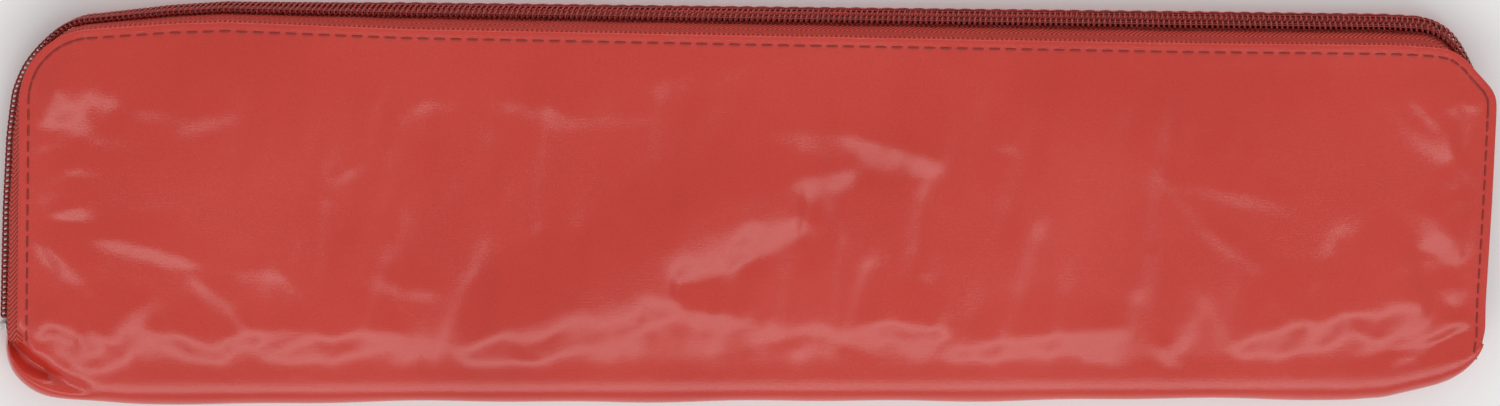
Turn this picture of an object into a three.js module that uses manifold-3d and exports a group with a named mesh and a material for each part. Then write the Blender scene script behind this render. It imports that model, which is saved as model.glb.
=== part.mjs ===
// A folded fire blanket in a long, flat zip pouch of coated cloth, lying on its back.
// Millimetres. +X runs along the pouch, +Y towards the zip, +Z up out of the front panel.
// The front, the bottom fold and the back are one cloth. The front opens about the bottom fold.
import * as THREE from "three";
import { mergeVertices } from "three/addons/utils/BufferGeometryUtils.js";
import Module from "manifold-3d";

const wasm = await Module();
wasm.setup();

// ---- Driving dimensions -------------------------------------------------------------------

const GAP = 0.3; // air between pieces that touch
const CLOTH = 0.5; // coated cloth
const TAPE = 0.6; // woven zip tape
const THREAD = 0.5;

const FRONT_LENGTH = 418; // front panel, along X
const FRONT_WIDTH = 101.5; // front panel, from the bottom fold to its zip edge, along Y
const EDGE_HEIGHT = 15.5; // floor to the top of the front panel's edge
const FRONT_RISE = 4; // how far the filled front stands above its edge
const HEM = 7; // flat border of the front panel, turned under and sewn
const STITCH_INSET = 3; // seam from the panel's edge

const RADIUS_TOP_LEFT = 24;
const RADIUS_TOP_RIGHT = 18;
const RADIUS_BOTTOM_RIGHT = 6;
const RADIUS_BOTTOM_LEFT = 12;

const FOLD_BULGE = 7.4; // bottom fold, out past the panels' edges
const FOLD_BULGE_SIDE = 0.5; // the same, where the fold meets the zip's ends
const ZIP_END_LEFT = 0.5; // zip's lower ends, up from the front panel's bottom corners
const ZIP_END_RIGHT = 1;

// The zip wall leans: how far out of the front panel's edge it stands, at the top of the
// chain and at the floor. The slack right end tucks in under the front panel.
const LEAN_LEFT = { chain: 2.6, foot: -1.0 };
const LEAN_TOP = { chain: 0.7, foot: 3.6 };
const LEAN_RIGHT = { chain: -6.8, foot: -6.8 };
const PANEL_LAP = 0.8; // front panel past the tape's bend
const SEAM_ALLOWANCE = 6; // front tape inside the seam
const BACK_LIP = 2; // back panel's edge, turned up over the back tape

const COIL_WIDTH = 3; // one half of the chain
const COIL_THICK = 2.2;
const TAPE_SPLIT = 2.2; // between the two tapes' inner edges
const SPREAD = 1; // each coil's step aside in front of the slider's post
const STOP_LENGTH = 2;
const TAB_LENGTH = 6.5; // cloth tabs over the tapes' ends, inside

const SLIDER_LENGTH = 11;
const SLIDER_PLATE = 0.8;
const SLIDER_FLANGE = 0.45; // walls that hold the chain in the slider
const SLIDER_FLARE = 0.4; // slider's mouth past its tail, on each side
const FLANGE_LENGTH = 5;
const POST_WIDTH = 1.5;
const POST_LENGTH = 3;
const BRIDGE_WIDTH = 1.8;
const BRIDGE_LENGTH = 6.4;
const BRIDGE_THICK = 0.6;
const PULL_THICK = 1;
const PULL_WIDTH = 6;
const PULL_LENGTH = 27;
const PULL_EYE = 4.6; // clear length of the eye round the bridge
const PULL_ARM = 1.2;

const BLANKET_SIDE = 900; // the open blanket is square
const LAYERS_LONG = 3; // folds along X, then zigzag along Y
const LAYERS_WIDE = 9;
const LAYER_PITCH = 0.46; // one thickness of the folded glass cloth
const PACK_CLEARANCE = 1.5; // pack to the pouch's walls
const PACK_CORNER = 2; // rounding of the pack's corners
const WEBBING_WIDTH = 25; // the blanket's two pull tapes
const WEBBING_LENGTH = 80;
const WEBBING_THICK = 1.2;
const WEBBING_SPACING = 150;

// ---- Heights and levels worked out from them ----------------------------------------------

const PANEL_TOP = EDGE_HEIGHT;
const PANEL_UNDERSIDE = EDGE_HEIGHT - CLOTH;
const TAPE_TOP = PANEL_UNDERSIDE - GAP - TAPE / 2;
const CHAIN_HALF = COIL_WIDTH + GAP / 2;
const SLIDER_TAIL_WIDTH = 2 * (CHAIN_HALF + GAP + SLIDER_FLANGE);
const SLIDER_WIDTH = SLIDER_TAIL_WIDTH + 2 * SLIDER_FLARE;
const CHAIN_Z = BACK_LIP + GAP + SLIDER_WIDTH / 2;
const CHAIN_TOP = CHAIN_Z + SLIDER_WIDTH / 2 + GAP;
const TAPE_FOOT = CLOTH + GAP;
const COIL_LOW = TAPE / 2 + GAP; // coil's underside, out from the tape's middle surface
const COIL_HIGH = COIL_LOW + COIL_THICK;

const FRONT = {
  left: -FRONT_LENGTH / 2,
  right: FRONT_LENGTH / 2,
  top: FRONT_WIDTH / 2,
  bottom: -FRONT_WIDTH / 2,
};
const SEAM_Z = PANEL_TOP + GAP;
const LEFT_END_Y = FRONT.bottom + RADIUS_BOTTOM_LEFT + ZIP_END_LEFT;
const RIGHT_END_Y = FRONT.bottom + RADIUS_BOTTOM_RIGHT + ZIP_END_RIGHT;

// ---- Outlines seen from above ----------------------------------------------------------------

const ARC_STEPS = 8; // to a quarter circle
const LEFT = { nx: -1, ny: 0 };
const RIGHT = { nx: 1, ny: 0 };

// The front panel's edge, moved out by its own amount on each side.
function edgeMovedOut(byLeft, byTop, byRight) {
  return {
    left: FRONT.left - byLeft,
    right: FRONT.right + byRight,
    top: FRONT.top + byTop,
    bottom: FRONT.bottom,
  };
}

function arc(cx, cy, radius, fromDeg, toDeg, steps) {
  return Array.from({ length: steps + 1 }, (_, i) => {
    const angle = THREE.MathUtils.degToRad(fromDeg + ((toDeg - fromDeg) * i) / steps);
    const nx = Math.cos(angle);
    const ny = Math.sin(angle);
    return { x: cx + radius * nx, y: cy + radius * ny, nx, ny };
  });
}

function alongSide(x, ys, normal) {
  return ys.map((y) => ({ x, y, ...normal }));
}

// Stations along the zip: up the left side, along the top, down the right side.
function zipStations(edge, leftYs, rightYs) {
  const { left, right, top } = edge;
  return [
    ...alongSide(left, leftYs, LEFT),
    ...arc(left + RADIUS_TOP_LEFT, top - RADIUS_TOP_LEFT, RADIUS_TOP_LEFT, 180, 90, ARC_STEPS),
    ...arc(right - RADIUS_TOP_RIGHT, top - RADIUS_TOP_RIGHT, RADIUS_TOP_RIGHT, 90, 0, ARC_STEPS),
    ...alongSide(right, rightYs, RIGHT),
  ];
}

// Stations along the bottom fold: down the right side, along the bottom, up the left side.
function foldStations(edge) {
  const { left, right, bottom } = edge;
  const rightRadius = RADIUS_BOTTOM_RIGHT;
  const leftRadius = RADIUS_BOTTOM_LEFT;
  return [
    ...arc(right - rightRadius, bottom + rightRadius, rightRadius, 0, -90, ARC_STEPS),
    ...arc(left + leftRadius, bottom + leftRadius, leftRadius, -90, -180, ARC_STEPS),
  ];
}

const PLAIN_LEFT_YS = [LEFT_END_Y];
const PLAIN_RIGHT_YS = [RIGHT_END_Y];

function closedOutline(edge) {
  return [...zipStations(edge, PLAIN_LEFT_YS, PLAIN_RIGHT_YS), ...foldStations(edge)];
}

// ---- Solids ------------------------------------------------------------------------------------

function toSolid(geometry) {
  const bare = geometry.clone();
  bare.deleteAttribute("normal");
  bare.deleteAttribute("uv");
  const merged = mergeVertices(bare, 1e-4);
  return new wasm.Manifold(
    new wasm.Mesh({
      numProp: 3,
      vertProperties: merged.attributes.position.array,
      triVerts: new Uint32Array(merged.index.array),
    }),
  );
}

function toGeometry(solid) {
  const mesh = solid.getMesh();
  const geometry = new THREE.BufferGeometry();
  geometry.setAttribute("position", new THREE.BufferAttribute(mesh.vertProperties, 3));
  geometry.setIndex(new THREE.BufferAttribute(mesh.triVerts, 1));
  geometry.computeVertexNormals();
  return geometry;
}

function join(...geometries) {
  return toGeometry(geometries.map(toSolid).reduce((all, next) => all.add(next)));
}

function signedVolume(points, faces) {
  return faces.reduce((sum, [a, b, c]) => {
    const cross = new THREE.Vector3().crossVectors(points[b], points[c]);
    return sum + points[a].dot(cross) / 6;
  }, 0);
}

function closedGeometry(points, faces) {
  const outward = signedVolume(points, faces) > 0 ? faces : faces.map(([a, b, c]) => [a, c, b]);
  const geometry = new THREE.BufferGeometry().setFromPoints(points);
  geometry.setIndex(outward.flat());
  geometry.computeVertexNormals();
  return geometry;
}

function bandFaces(lower, upper, count) {
  const faces = [];
  for (let k = 0; k < count; k++) {
    const next = (k + 1) % count;
    faces.push([lower + k, lower + next, upper + next]);
    faces.push([lower + k, upper + next, upper + k]);
  }
  return faces;
}

// A solid through a row of sections: each section is the same closed polygon, in 3D points.
function loft(sections, flatSection) {
  const count = sections[0].length;
  const points = sections.flat();
  const faces = [];
  for (let i = 0; i + 1 < sections.length; i++) {
    faces.push(...bandFaces(i * count, (i + 1) * count, count));
  }
  const cap = THREE.ShapeUtils.triangulateShape(flatSection, []);
  const winding = THREE.ShapeUtils.area(flatSection) > 0 ? 1 : -1;
  const last = (sections.length - 1) * count;
  for (const [a, b, c] of cap) {
    faces.push(winding > 0 ? [c, b, a] : [a, b, c]);
    faces.push(winding > 0 ? [last + a, last + b, last + c] : [last + c, last + b, last + a]);
  }
  return closedGeometry(points, faces);
}

function pointAt(station, out, z) {
  return new THREE.Vector3(station.x + station.nx * out, station.y + station.ny * out, z);
}

// A solid whose section is given for each station as [out, z] pairs.
function sweep(stations, sectionAt) {
  const flat = stations.map((station, i) => sectionAt(station, i));
  const sections = flat.map((section, i) => section.map(([out, z]) => pointAt(stations[i], out, z)));
  return loft(sections, flat[0].map(([out, z]) => new THREE.Vector2(out, z)));
}

// A thin plate over a closed outline. Each ring says how it shrinks the outline and how high
// it lies: first moved in by a distance, then scaled towards the middle.
function plate(outline, rings, thickness) {
  const middle = new THREE.Vector3((FRONT.left + FRONT.right) / 2, (FRONT.top + FRONT.bottom) / 2, 0);
  const count = outline.length;
  const points = [];
  const faces = [];
  for (const lift of [thickness, 0]) {
    const first = points.length;
    for (const { inset, scale, z } of rings) {
      for (const station of outline) {
        const at = pointAt(station, -inset, 0).sub(middle).multiplyScalar(scale).add(middle);
        points.push(at.setZ(z + lift));
      }
    }
    points.push(middle.clone().setZ(rings.at(-1).z + lift));
    for (let r = 0; r + 1 < rings.length; r++) {
      const bands = bandFaces(first + r * count, first + (r + 1) * count, count);
      faces.push(...(lift ? bands : bands.map(([a, b, c]) => [a, c, b])));
    }
    const inner = first + (rings.length - 1) * count;
    for (let k = 0; k < count; k++) {
      const next = (k + 1) % count;
      const hub = points.length - 1;
      faces.push(lift ? [inner + k, inner + next, hub] : [inner + next, inner + k, hub]);
    }
  }
  const under = points.length / 2;
  faces.push(...bandFaces(under, 0, count));
  return closedGeometry(points, faces);
}

function box(sizeX, sizeY, sizeZ, x, y, z) {
  return new THREE.BoxGeometry(sizeX, sizeY, sizeZ).translate(x, y, z);
}

// ---- The zip wall ------------------------------------------------------------------------------

// The wall's middle surface at four heights: under the front panel, above the chain, below it
// and at the floor.
const WALL_HEIGHTS = [TAPE_TOP, CHAIN_TOP, CHAIN_Z - COIL_WIDTH - GAP, TAPE_FOOT];

function wallEdgeAt(z) {
  const lean = (side) => {
    if (z >= CHAIN_TOP) {
      const share = (TAPE_TOP - z) / (TAPE_TOP - CHAIN_TOP);
      return THREE.MathUtils.lerp(-PANEL_LAP, side.chain, share);
    }
    const share = (CHAIN_TOP - z) / (CHAIN_TOP - TAPE_FOOT);
    return THREE.MathUtils.lerp(side.chain, side.foot, share);
  };
  return edgeMovedOut(lean(LEAN_LEFT), lean(LEAN_TOP), lean(LEAN_RIGHT));
}

// Offsets a path of [out, z] knots sideways, mitred at its bends.
function offsetPath(knots, distance) {
  return knots.map(([out, z], i) => {
    const before = knots[Math.max(i - 1, 0)];
    const here = knots[i];
    const after = knots[Math.min(i + 1, knots.length - 1)];
    const into = new THREE.Vector2(here[0] - before[0], here[1] - before[1]).normalize();
    const away = new THREE.Vector2(after[0] - here[0], after[1] - here[1]).normalize();
    const along = into.clone().add(away).normalize();
    const stretch = Math.max(along.dot(away.lengthSq() ? away : into), 0.5);
    return [out - (along.y * distance) / stretch, z + (along.x * distance) / stretch];
  });
}

function ribbonSection(knots, thickness) {
  return [...offsetPath(knots, thickness / 2), ...offsetPath(knots, -thickness / 2).reverse()];
}

// Wall stations: the same places along the zip, at the chain's height, with the wall's path.
function wallStations(leftYs, rightYs) {
  const base = zipStations(wallEdgeAt(CHAIN_Z), leftYs, rightYs);
  const levels = WALL_HEIGHTS.map((z) => zipStations(wallEdgeAt(z), leftYs, rightYs));
  return base.map((station, i) => {
    const knots = levels.map((level, k) => {
      const dx = level[i].x - station.x;
      const dy = level[i].y - station.y;
      return [dx * station.nx + dy * station.ny, WALL_HEIGHTS[k]];
    });
    return { ...station, knots };
  });
}

// A point of the wall at a distance up or down it from the chain's middle, and out of it.
function onChain(station, up, out) {
  const [, top, bottom] = station.knots;
  const slope = new THREE.Vector2(top[0] - bottom[0], top[1] - bottom[1]).normalize();
  const middle = THREE.MathUtils.lerp(bottom[0], top[0], (CHAIN_Z - bottom[1]) / (top[1] - bottom[1]));
  return [middle + slope.x * up + slope.y * out, CHAIN_Z + slope.y * up - slope.x * out];
}

// A point near the wall's foot: a level distance out from the wall, at a height.
function besideFoot(station, out, z) {
  const [, top, , foot] = station.knots;
  const lean = (top[0] - foot[0]) / (top[1] - foot[1]);
  return [foot[0] + lean * (z - foot[1]) + out, z];
}

const ZIP_LEFT_YS = [LEFT_END_Y, FRONT.top - RADIUS_TOP_LEFT - 12];
const ZIP_RIGHT_YS = [RIGHT_END_Y];

function frontZipTape() {
  return sweep(wallStations(ZIP_LEFT_YS, ZIP_RIGHT_YS), (station) => {
    const [top, chainTop] = station.knots;
    const innerEdge = onChain(station, TAPE_SPLIT / 2, 0);
    const allowance = [top[0] - SEAM_ALLOWANCE, top[1]];
    return ribbonSection([allowance, top, chainTop, innerEdge], TAPE);
  });
}

function backZipTape() {
  return sweep(wallStations(ZIP_LEFT_YS, ZIP_RIGHT_YS), (station) => {
    const [, , chainFoot, foot] = station.knots;
    return ribbonSection([onChain(station, -TAPE_SPLIT / 2, 0), chainFoot, foot], TAPE);
  });
}

// ---- Chain, stops and tabs ---------------------------------------------------------------------

const STOP_LEFT_Y = LEFT_END_Y + 2.5; // bottom stop's lower end
const COIL_START_Y = STOP_LEFT_Y + STOP_LENGTH + GAP;
const STOP_RIGHT_Y = RIGHT_END_Y + 3.5; // top stops' lower end
const COIL_END_Y = STOP_RIGHT_Y + STOP_LENGTH + GAP;
const SLIDER_Y = COIL_END_Y + 1 + SLIDER_LENGTH / 2;
const POST_Y = SLIDER_Y - SLIDER_LENGTH / 2 + POST_LENGTH / 2 + 0.5;
const SPREAD_FULL_Y = POST_Y + POST_LENGTH / 2 + GAP;
const SPREAD_START_Y = SPREAD_FULL_Y + 1.6;
const COIL_LEFT_YS = [COIL_START_Y, FRONT.top - RADIUS_TOP_LEFT - 12];
const COIL_RIGHT_YS = [SPREAD_START_Y, SPREAD_FULL_Y, COIL_END_Y];

// An eight-sided coil section; the halves step aside for the slider's post at the right end.
function coil(side) {
  return sweep(wallStations(COIL_LEFT_YS, COIL_RIGHT_YS), (station) => {
    const parted = station.nx === 1 && station.y <= SPREAD_FULL_Y;
    const near = GAP / 2 + (parted ? SPREAD : 0);
    const far = near + COIL_WIDTH;
    const round = 0.7;
    const corners = [
      [near, COIL_LOW + round],
      [near + round, COIL_LOW],
      [far - round, COIL_LOW],
      [far, COIL_LOW + round],
      [far, COIL_HIGH - round],
      [far - round, COIL_HIGH],
      [near + round, COIL_HIGH],
      [near, COIL_HIGH - round],
    ];
    return corners.map(([up, out]) => onChain(station, side * up, out));
  });
}

// A block on the wall of the left or right side, between two heights and two distances out.
function onWall(side, fromY, toY, low, high, inner, outer) {
  const leftYs = side < 0 ? [fromY, toY] : PLAIN_LEFT_YS;
  const rightYs = side > 0 ? [fromY, toY] : PLAIN_RIGHT_YS;
  const all = wallStations(leftYs, rightYs);
  const stations = side < 0 ? all.slice(0, 2) : all.slice(-2);
  return sweep(stations, (station) => [
    onChain(station, low, inner),
    onChain(station, high, inner),
    onChain(station, high, outer),
    onChain(station, low, outer),
  ]);
}

function bottomStop() {
  const reach = COIL_WIDTH + GAP;
  return onWall(-1, STOP_LEFT_Y, STOP_LEFT_Y + STOP_LENGTH, -reach, reach, COIL_LOW, COIL_HIGH + GAP);
}

function topStop(side) {
  const near = TAPE_SPLIT / 2;
  const far = near + COIL_WIDTH * 0.8;
  const [low, high] = side > 0 ? [near, far] : [-far, -near];
  return onWall(1, STOP_RIGHT_Y, STOP_RIGHT_Y + STOP_LENGTH, low, high, COIL_LOW, COIL_HIGH);
}

// A cloth tab inside the pouch, across the two tapes' ends.
function endTab(side) {
  const y = side < 0 ? LEFT_END_Y : RIGHT_END_Y;
  const reach = SLIDER_WIDTH / 2 - GAP;
  const outer = -TAPE / 2 - GAP;
  return onWall(side, y, y + TAB_LENGTH, -reach, reach, outer - CLOTH, outer);
}

// ---- Slider and pull tab -----------------------------------------------------------------------

// On the right side the chain stands upright, so the slider's own axes are the pouch's.
const CHAIN_X = wallEdgeAt(CHAIN_Z).right;
const PLATE_INNER_X = CHAIN_X - TAPE / 2 - 0.4 - SLIDER_PLATE / 2;
const PLATE_OUTER_X = CHAIN_X + COIL_HIGH + GAP + SLIDER_PLATE / 2;
const PLATE_FACE_X = PLATE_OUTER_X + SLIDER_PLATE / 2;
const PIVOT_CLEAR = (PULL_THICK / 2) * Math.SQRT2; // sweep of the tab's square bar
const PIVOT_X = PLATE_FACE_X + PIVOT_CLEAR + 0.2;
const BRIDGE_UNDERSIDE_X = PIVOT_X + PIVOT_CLEAR + 0.2;

const SHARP = { bevelEnabled: false };

// Plate seen from the side: wide at the mouth, narrower at the tail.
function sliderPlate(x) {
  const half = SLIDER_LENGTH / 2;
  const wide = SLIDER_WIDTH / 2;
  const tail = SLIDER_TAIL_WIDTH / 2;
  const shape = new THREE.Shape();
  shape.moveTo(-half + 1, -wide);
  shape.lineTo(0, -wide);
  shape.lineTo(half - 1, -tail);
  shape.quadraticCurveTo(half, -tail, half, -tail + 1);
  shape.lineTo(half, tail - 1);
  shape.quadraticCurveTo(half, tail, half - 1, tail);
  shape.lineTo(0, wide);
  shape.lineTo(-half + 1, wide);
  shape.quadraticCurveTo(-half, wide, -half, wide - 1);
  shape.lineTo(-half, -wide + 1);
  shape.quadraticCurveTo(-half, -wide, -half + 1, -wide);
  const drawn = new THREE.ExtrudeGeometry(shape, { depth: SLIDER_PLATE, ...SHARP, curveSegments: 4 });
  return alongY(drawn).translate(x - SLIDER_PLATE / 2, SLIDER_Y, CHAIN_Z);
}

// Turns a shape drawn in (X, Y) and extruded along Z so that it is drawn in (Y, Z) and
// extruded along X.
function alongY(geometry) {
  return geometry.applyMatrix4(new THREE.Matrix4().set(0, 0, 1, 0, 1, 0, 0, 0, 0, 1, 0, 0, 0, 0, 0, 1));
}

function sliderBody() {
  const tailY = SLIDER_Y + SLIDER_LENGTH / 2;
  const flangeY = tailY - FLANGE_LENGTH / 2 - 0.6;
  const flangeInner = CHAIN_HALF + GAP;
  const flangeTip = TAPE / 2 + GAP; // the tape leaves the slider under the flange
  const flangeDepth = PLATE_OUTER_X - CHAIN_X - flangeTip;
  const flangeX = CHAIN_X + flangeTip + flangeDepth / 2;
  const flangeZ = flangeInner + SLIDER_FLANGE / 2;
  const postDepth = PLATE_OUTER_X - PLATE_INNER_X;
  const post = new THREE.CylinderGeometry(POST_WIDTH / 2, POST_WIDTH / 2, postDepth, 12)
    .rotateZ(Math.PI / 2)
    .scale(1, POST_LENGTH / POST_WIDTH, 1)
    .translate((PLATE_OUTER_X + PLATE_INNER_X) / 2, POST_Y, CHAIN_Z);
  return join(
    sliderPlate(PLATE_OUTER_X),
    sliderPlate(PLATE_INNER_X),
    post,
    box(flangeDepth, FLANGE_LENGTH, SLIDER_FLANGE, flangeX, flangeY, CHAIN_Z + flangeZ),
    box(flangeDepth, FLANGE_LENGTH, SLIDER_FLANGE, flangeX, flangeY, CHAIN_Z - flangeZ),
  );
}

// A staple over the slider's outer plate: the pull tab's bar turns under it.
function sliderBridge() {
  const half = BRIDGE_LENGTH / 2;
  const foot = PLATE_FACE_X + GAP / 2;
  const top = BRIDGE_UNDERSIDE_X + BRIDGE_THICK;
  const shape = new THREE.Shape();
  shape.moveTo(foot, -half);
  shape.lineTo(top - 0.8, -half);
  shape.quadraticCurveTo(top, -half, top, -half + 0.8);
  shape.lineTo(top, half - 0.8);
  shape.quadraticCurveTo(top, half, top - 0.8, half);
  shape.lineTo(foot, half);
  shape.lineTo(foot, half - BRIDGE_THICK);
  shape.lineTo(BRIDGE_UNDERSIDE_X, half - BRIDGE_THICK);
  shape.lineTo(BRIDGE_UNDERSIDE_X, -half + BRIDGE_THICK);
  shape.lineTo(foot, -half + BRIDGE_THICK);
  shape.closePath();
  const drawn = new THREE.ExtrudeGeometry(shape, { depth: BRIDGE_WIDTH, ...SHARP, curveSegments: 3 });
  return drawn.translate(0, SLIDER_Y, CHAIN_Z - BRIDGE_WIDTH / 2);
}

// The tab lies along the chain. Its eye goes round the bridge, and its square bar is the pivot.
function pullTab() {
  const half = PULL_WIDTH / 2;
  const neck = BRIDGE_WIDTH / 2 + 0.4 + PULL_ARM;
  const start = -PULL_THICK / 2;
  const eyeStart = PULL_THICK / 2;
  const eyeEnd = eyeStart + PULL_EYE;
  const shape = new THREE.Shape();
  shape.moveTo(start, -neck);
  shape.lineTo(eyeEnd + 1, -neck);
  shape.quadraticCurveTo(eyeEnd + 3, -half, eyeEnd + 5, -half);
  shape.lineTo(PULL_LENGTH - half, -half);
  shape.absarc(PULL_LENGTH - half, 0, half, -Math.PI / 2, Math.PI / 2, false);
  shape.lineTo(eyeEnd + 5, half);
  shape.quadraticCurveTo(eyeEnd + 3, half, eyeEnd + 1, neck);
  shape.lineTo(start, neck);
  shape.closePath();
  const eyeHalf = neck - PULL_ARM;
  const eye = new THREE.Path();
  eye.moveTo(eyeStart, -eyeHalf);
  eye.lineTo(eyeStart, eyeHalf);
  eye.lineTo(eyeEnd, eyeHalf);
  eye.lineTo(eyeEnd, -eyeHalf);
  eye.closePath();
  shape.holes.push(eye);
  const drawn = new THREE.ExtrudeGeometry(shape, { depth: PULL_THICK, ...SHARP, curveSegments: 8 });
  return alongY(drawn).translate(PIVOT_X - PULL_THICK / 2, SLIDER_Y, CHAIN_Z);
}

// ---- Cloth -------------------------------------------------------------------------------------

const LIP_OUT = TAPE / 2 + GAP + CLOTH / 2; // back panel's turned-up edge, out from the tape

function backEdge() {
  const foot = wallEdgeAt(TAPE_FOOT);
  const out = LIP_OUT + CLOTH / 2;
  return { left: foot.left - out, right: foot.right + out, top: foot.top + out, bottom: foot.bottom };
}

function frontPanel() {
  const hemZ = PANEL_UNDERSIDE;
  const risen = (share) => hemZ + FRONT_RISE * (1 - share ** 3);
  const rings = [
    { inset: 0, scale: 1, z: hemZ },
    { inset: HEM, scale: 1, z: hemZ },
    ...[0.93, 0.82, 0.66, 0.45, 0.2].map((scale) => ({ inset: HEM, scale, z: risen(scale) })),
  ];
  return plate(closedOutline(FRONT), rings, CLOTH);
}

function backPanel() {
  const edge = backEdge();
  const rings = [
    { inset: 0, scale: 1, z: 0 },
    { inset: HEM, scale: 1, z: 0 },
  ];
  const inner = LIP_OUT - CLOTH / 2;
  const outer = LIP_OUT + CLOTH / 2;
  const lip = sweep(wallStations(ZIP_LEFT_YS, ZIP_RIGHT_YS), (station) => [
    besideFoot(station, inner, CLOTH / 2),
    besideFoot(station, outer, CLOTH / 2),
    besideFoot(station, outer, BACK_LIP),
    besideFoot(station, inner, BACK_LIP),
  ]);
  return join(plate(closedOutline(edge), rings, CLOTH), lip);
}

// The fold is a half-round shell from the front panel's edge down to the back panel's.
function bottomFold() {
  const back = backEdge();
  const extend = (edge) => [
    { x: edge.right, y: RIGHT_END_Y - GAP, ...RIGHT },
    ...foldStations(edge),
    { x: edge.left, y: LEFT_END_Y - GAP, ...LEFT },
  ];
  const frontStations = extend(FRONT);
  const backStations = extend(back);
  const steps = 12;
  const zMiddle = EDGE_HEIGHT / 2;
  const zReach = zMiddle - CLOTH / 2;
  return sweep(frontStations, (station, i) => {
    const dx = backStations[i].x - station.x;
    const dy = backStations[i].y - station.y;
    const lean = dx * station.nx + dy * station.ny;
    const bulge = THREE.MathUtils.lerp(FOLD_BULGE_SIDE, FOLD_BULGE, station.ny ** 2);
    const knots = Array.from({ length: steps + 1 }, (_, k) => {
      const angle = (Math.PI * k) / steps;
      const share = (1 - Math.cos(angle)) / 2;
      return [2 * GAP + lean * share + bulge * Math.sin(angle), zMiddle + zReach * Math.cos(angle)];
    });
    return ribbonSection(knots, CLOTH);
  });
}

function frontTopstitch() {
  const stations = zipStations(FRONT, ZIP_LEFT_YS, ZIP_RIGHT_YS);
  return sweep(stations, () => [
    [-STITCH_INSET - THREAD / 2, SEAM_Z],
    [-STITCH_INSET + THREAD / 2, SEAM_Z],
    [-STITCH_INSET + THREAD / 2, SEAM_Z + THREAD],
    [-STITCH_INSET - THREAD / 2, SEAM_Z + THREAD],
  ]);
}

// The back seam shows on the outside of the turned-up lip.
function backTopstitch() {
  const inner = LIP_OUT + CLOTH / 2 + GAP;
  const low = BACK_LIP / 2;
  return sweep(wallStations(ZIP_LEFT_YS, ZIP_RIGHT_YS), (station) => [
    besideFoot(station, inner, low),
    besideFoot(station, inner + THREAD, low),
    besideFoot(station, inner + THREAD, low + THREAD),
    besideFoot(station, inner, low + THREAD),
  ]);
}

// ---- Contents ----------------------------------------------------------------------------------

const PACK_LENGTH = BLANKET_SIDE / LAYERS_LONG;
const PACK_WIDTH = BLANKET_SIDE / LAYERS_WIDE;
const PACK_HEIGHT = LAYER_PITCH * LAYERS_LONG * LAYERS_WIDE;
const PACK_FLOOR = CLOTH + GAP;

// The pack lies at the left end, as far into the pouch's round corner as its own corner goes.
function packCorner() {
  const top = FRONT.top - PANEL_LAP - TAPE / 2 - PACK_CLEARANCE;
  const reach = RADIUS_TOP_LEFT - PANEL_LAP - TAPE / 2 - PACK_CLEARANCE / 2 + PACK_CORNER / 2;
  const centreY = FRONT.top - RADIUS_TOP_LEFT;
  const centreX = FRONT.left + RADIUS_TOP_LEFT;
  const across = Math.max(top - centreY, 0);
  return { left: centreX - Math.sqrt(Math.max(reach ** 2 - across ** 2, 0)), top };
}

function fireBlanket() {
  const { left, top } = packCorner();
  const shape = new THREE.Shape();
  const [x0, x1, y0, y1] = [left, left + PACK_LENGTH, top - PACK_WIDTH, top];
  shape.moveTo(x0 + PACK_CORNER, y0);
  shape.absarc(x1 - PACK_CORNER, y0 + PACK_CORNER, PACK_CORNER, -Math.PI / 2, 0, false);
  shape.absarc(x1 - PACK_CORNER, y1 - PACK_CORNER, PACK_CORNER, 0, Math.PI / 2, false);
  shape.absarc(x0 + PACK_CORNER, y1 - PACK_CORNER, PACK_CORNER, Math.PI / 2, Math.PI, false);
  shape.absarc(x0 + PACK_CORNER, y0 + PACK_CORNER, PACK_CORNER, Math.PI, 1.5 * Math.PI, false);
  const drawn = new THREE.ExtrudeGeometry(shape, { depth: PACK_HEIGHT, ...SHARP, curveSegments: 4 });
  return drawn.translate(0, 0, PACK_FLOOR);
}

// A pull tape of webbing, lying on the pack: side is -1 for the left one, 1 for the right one.
function pullTape(side) {
  const { left, top } = packCorner();
  const x = left + PACK_LENGTH / 2 + (side * WEBBING_SPACING) / 2;
  const z = PACK_FLOOR + PACK_HEIGHT + GAP + WEBBING_THICK / 2;
  return box(WEBBING_LENGTH, WEBBING_WIDTH, WEBBING_THICK, x, top - PACK_WIDTH / 2, z);
}

// ---- Materials and assembly --------------------------------------------------------------------

const FINISHES = {
  coated_cloth: { color: 0xbd4840, roughness: 0.35, metalness: 0 },
  zip_tape: { color: 0xa83a33, roughness: 0.85, metalness: 0 },
  coil_nylon: { color: 0xb8473f, roughness: 0.35, metalness: 0 },
  thread: { color: 0x9c332c, roughness: 0.6, metalness: 0 },
  slider_metal: { color: 0x8e2c26, roughness: 0.35, metalness: 0.6 },
  stop_metal: { color: 0xb9b6ae, roughness: 0.3, metalness: 1 },
  glass_cloth: { color: 0xe9e6da, roughness: 0.8, metalness: 0 },
  webbing: { color: 0x1c1c1e, roughness: 0.8, metalness: 0 },
};

function named(name, geometry, finish) {
  const mesh = new THREE.Mesh(geometry, new THREE.MeshStandardMaterial(FINISHES[finish]));
  mesh.name = name;
  return mesh;
}

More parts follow.
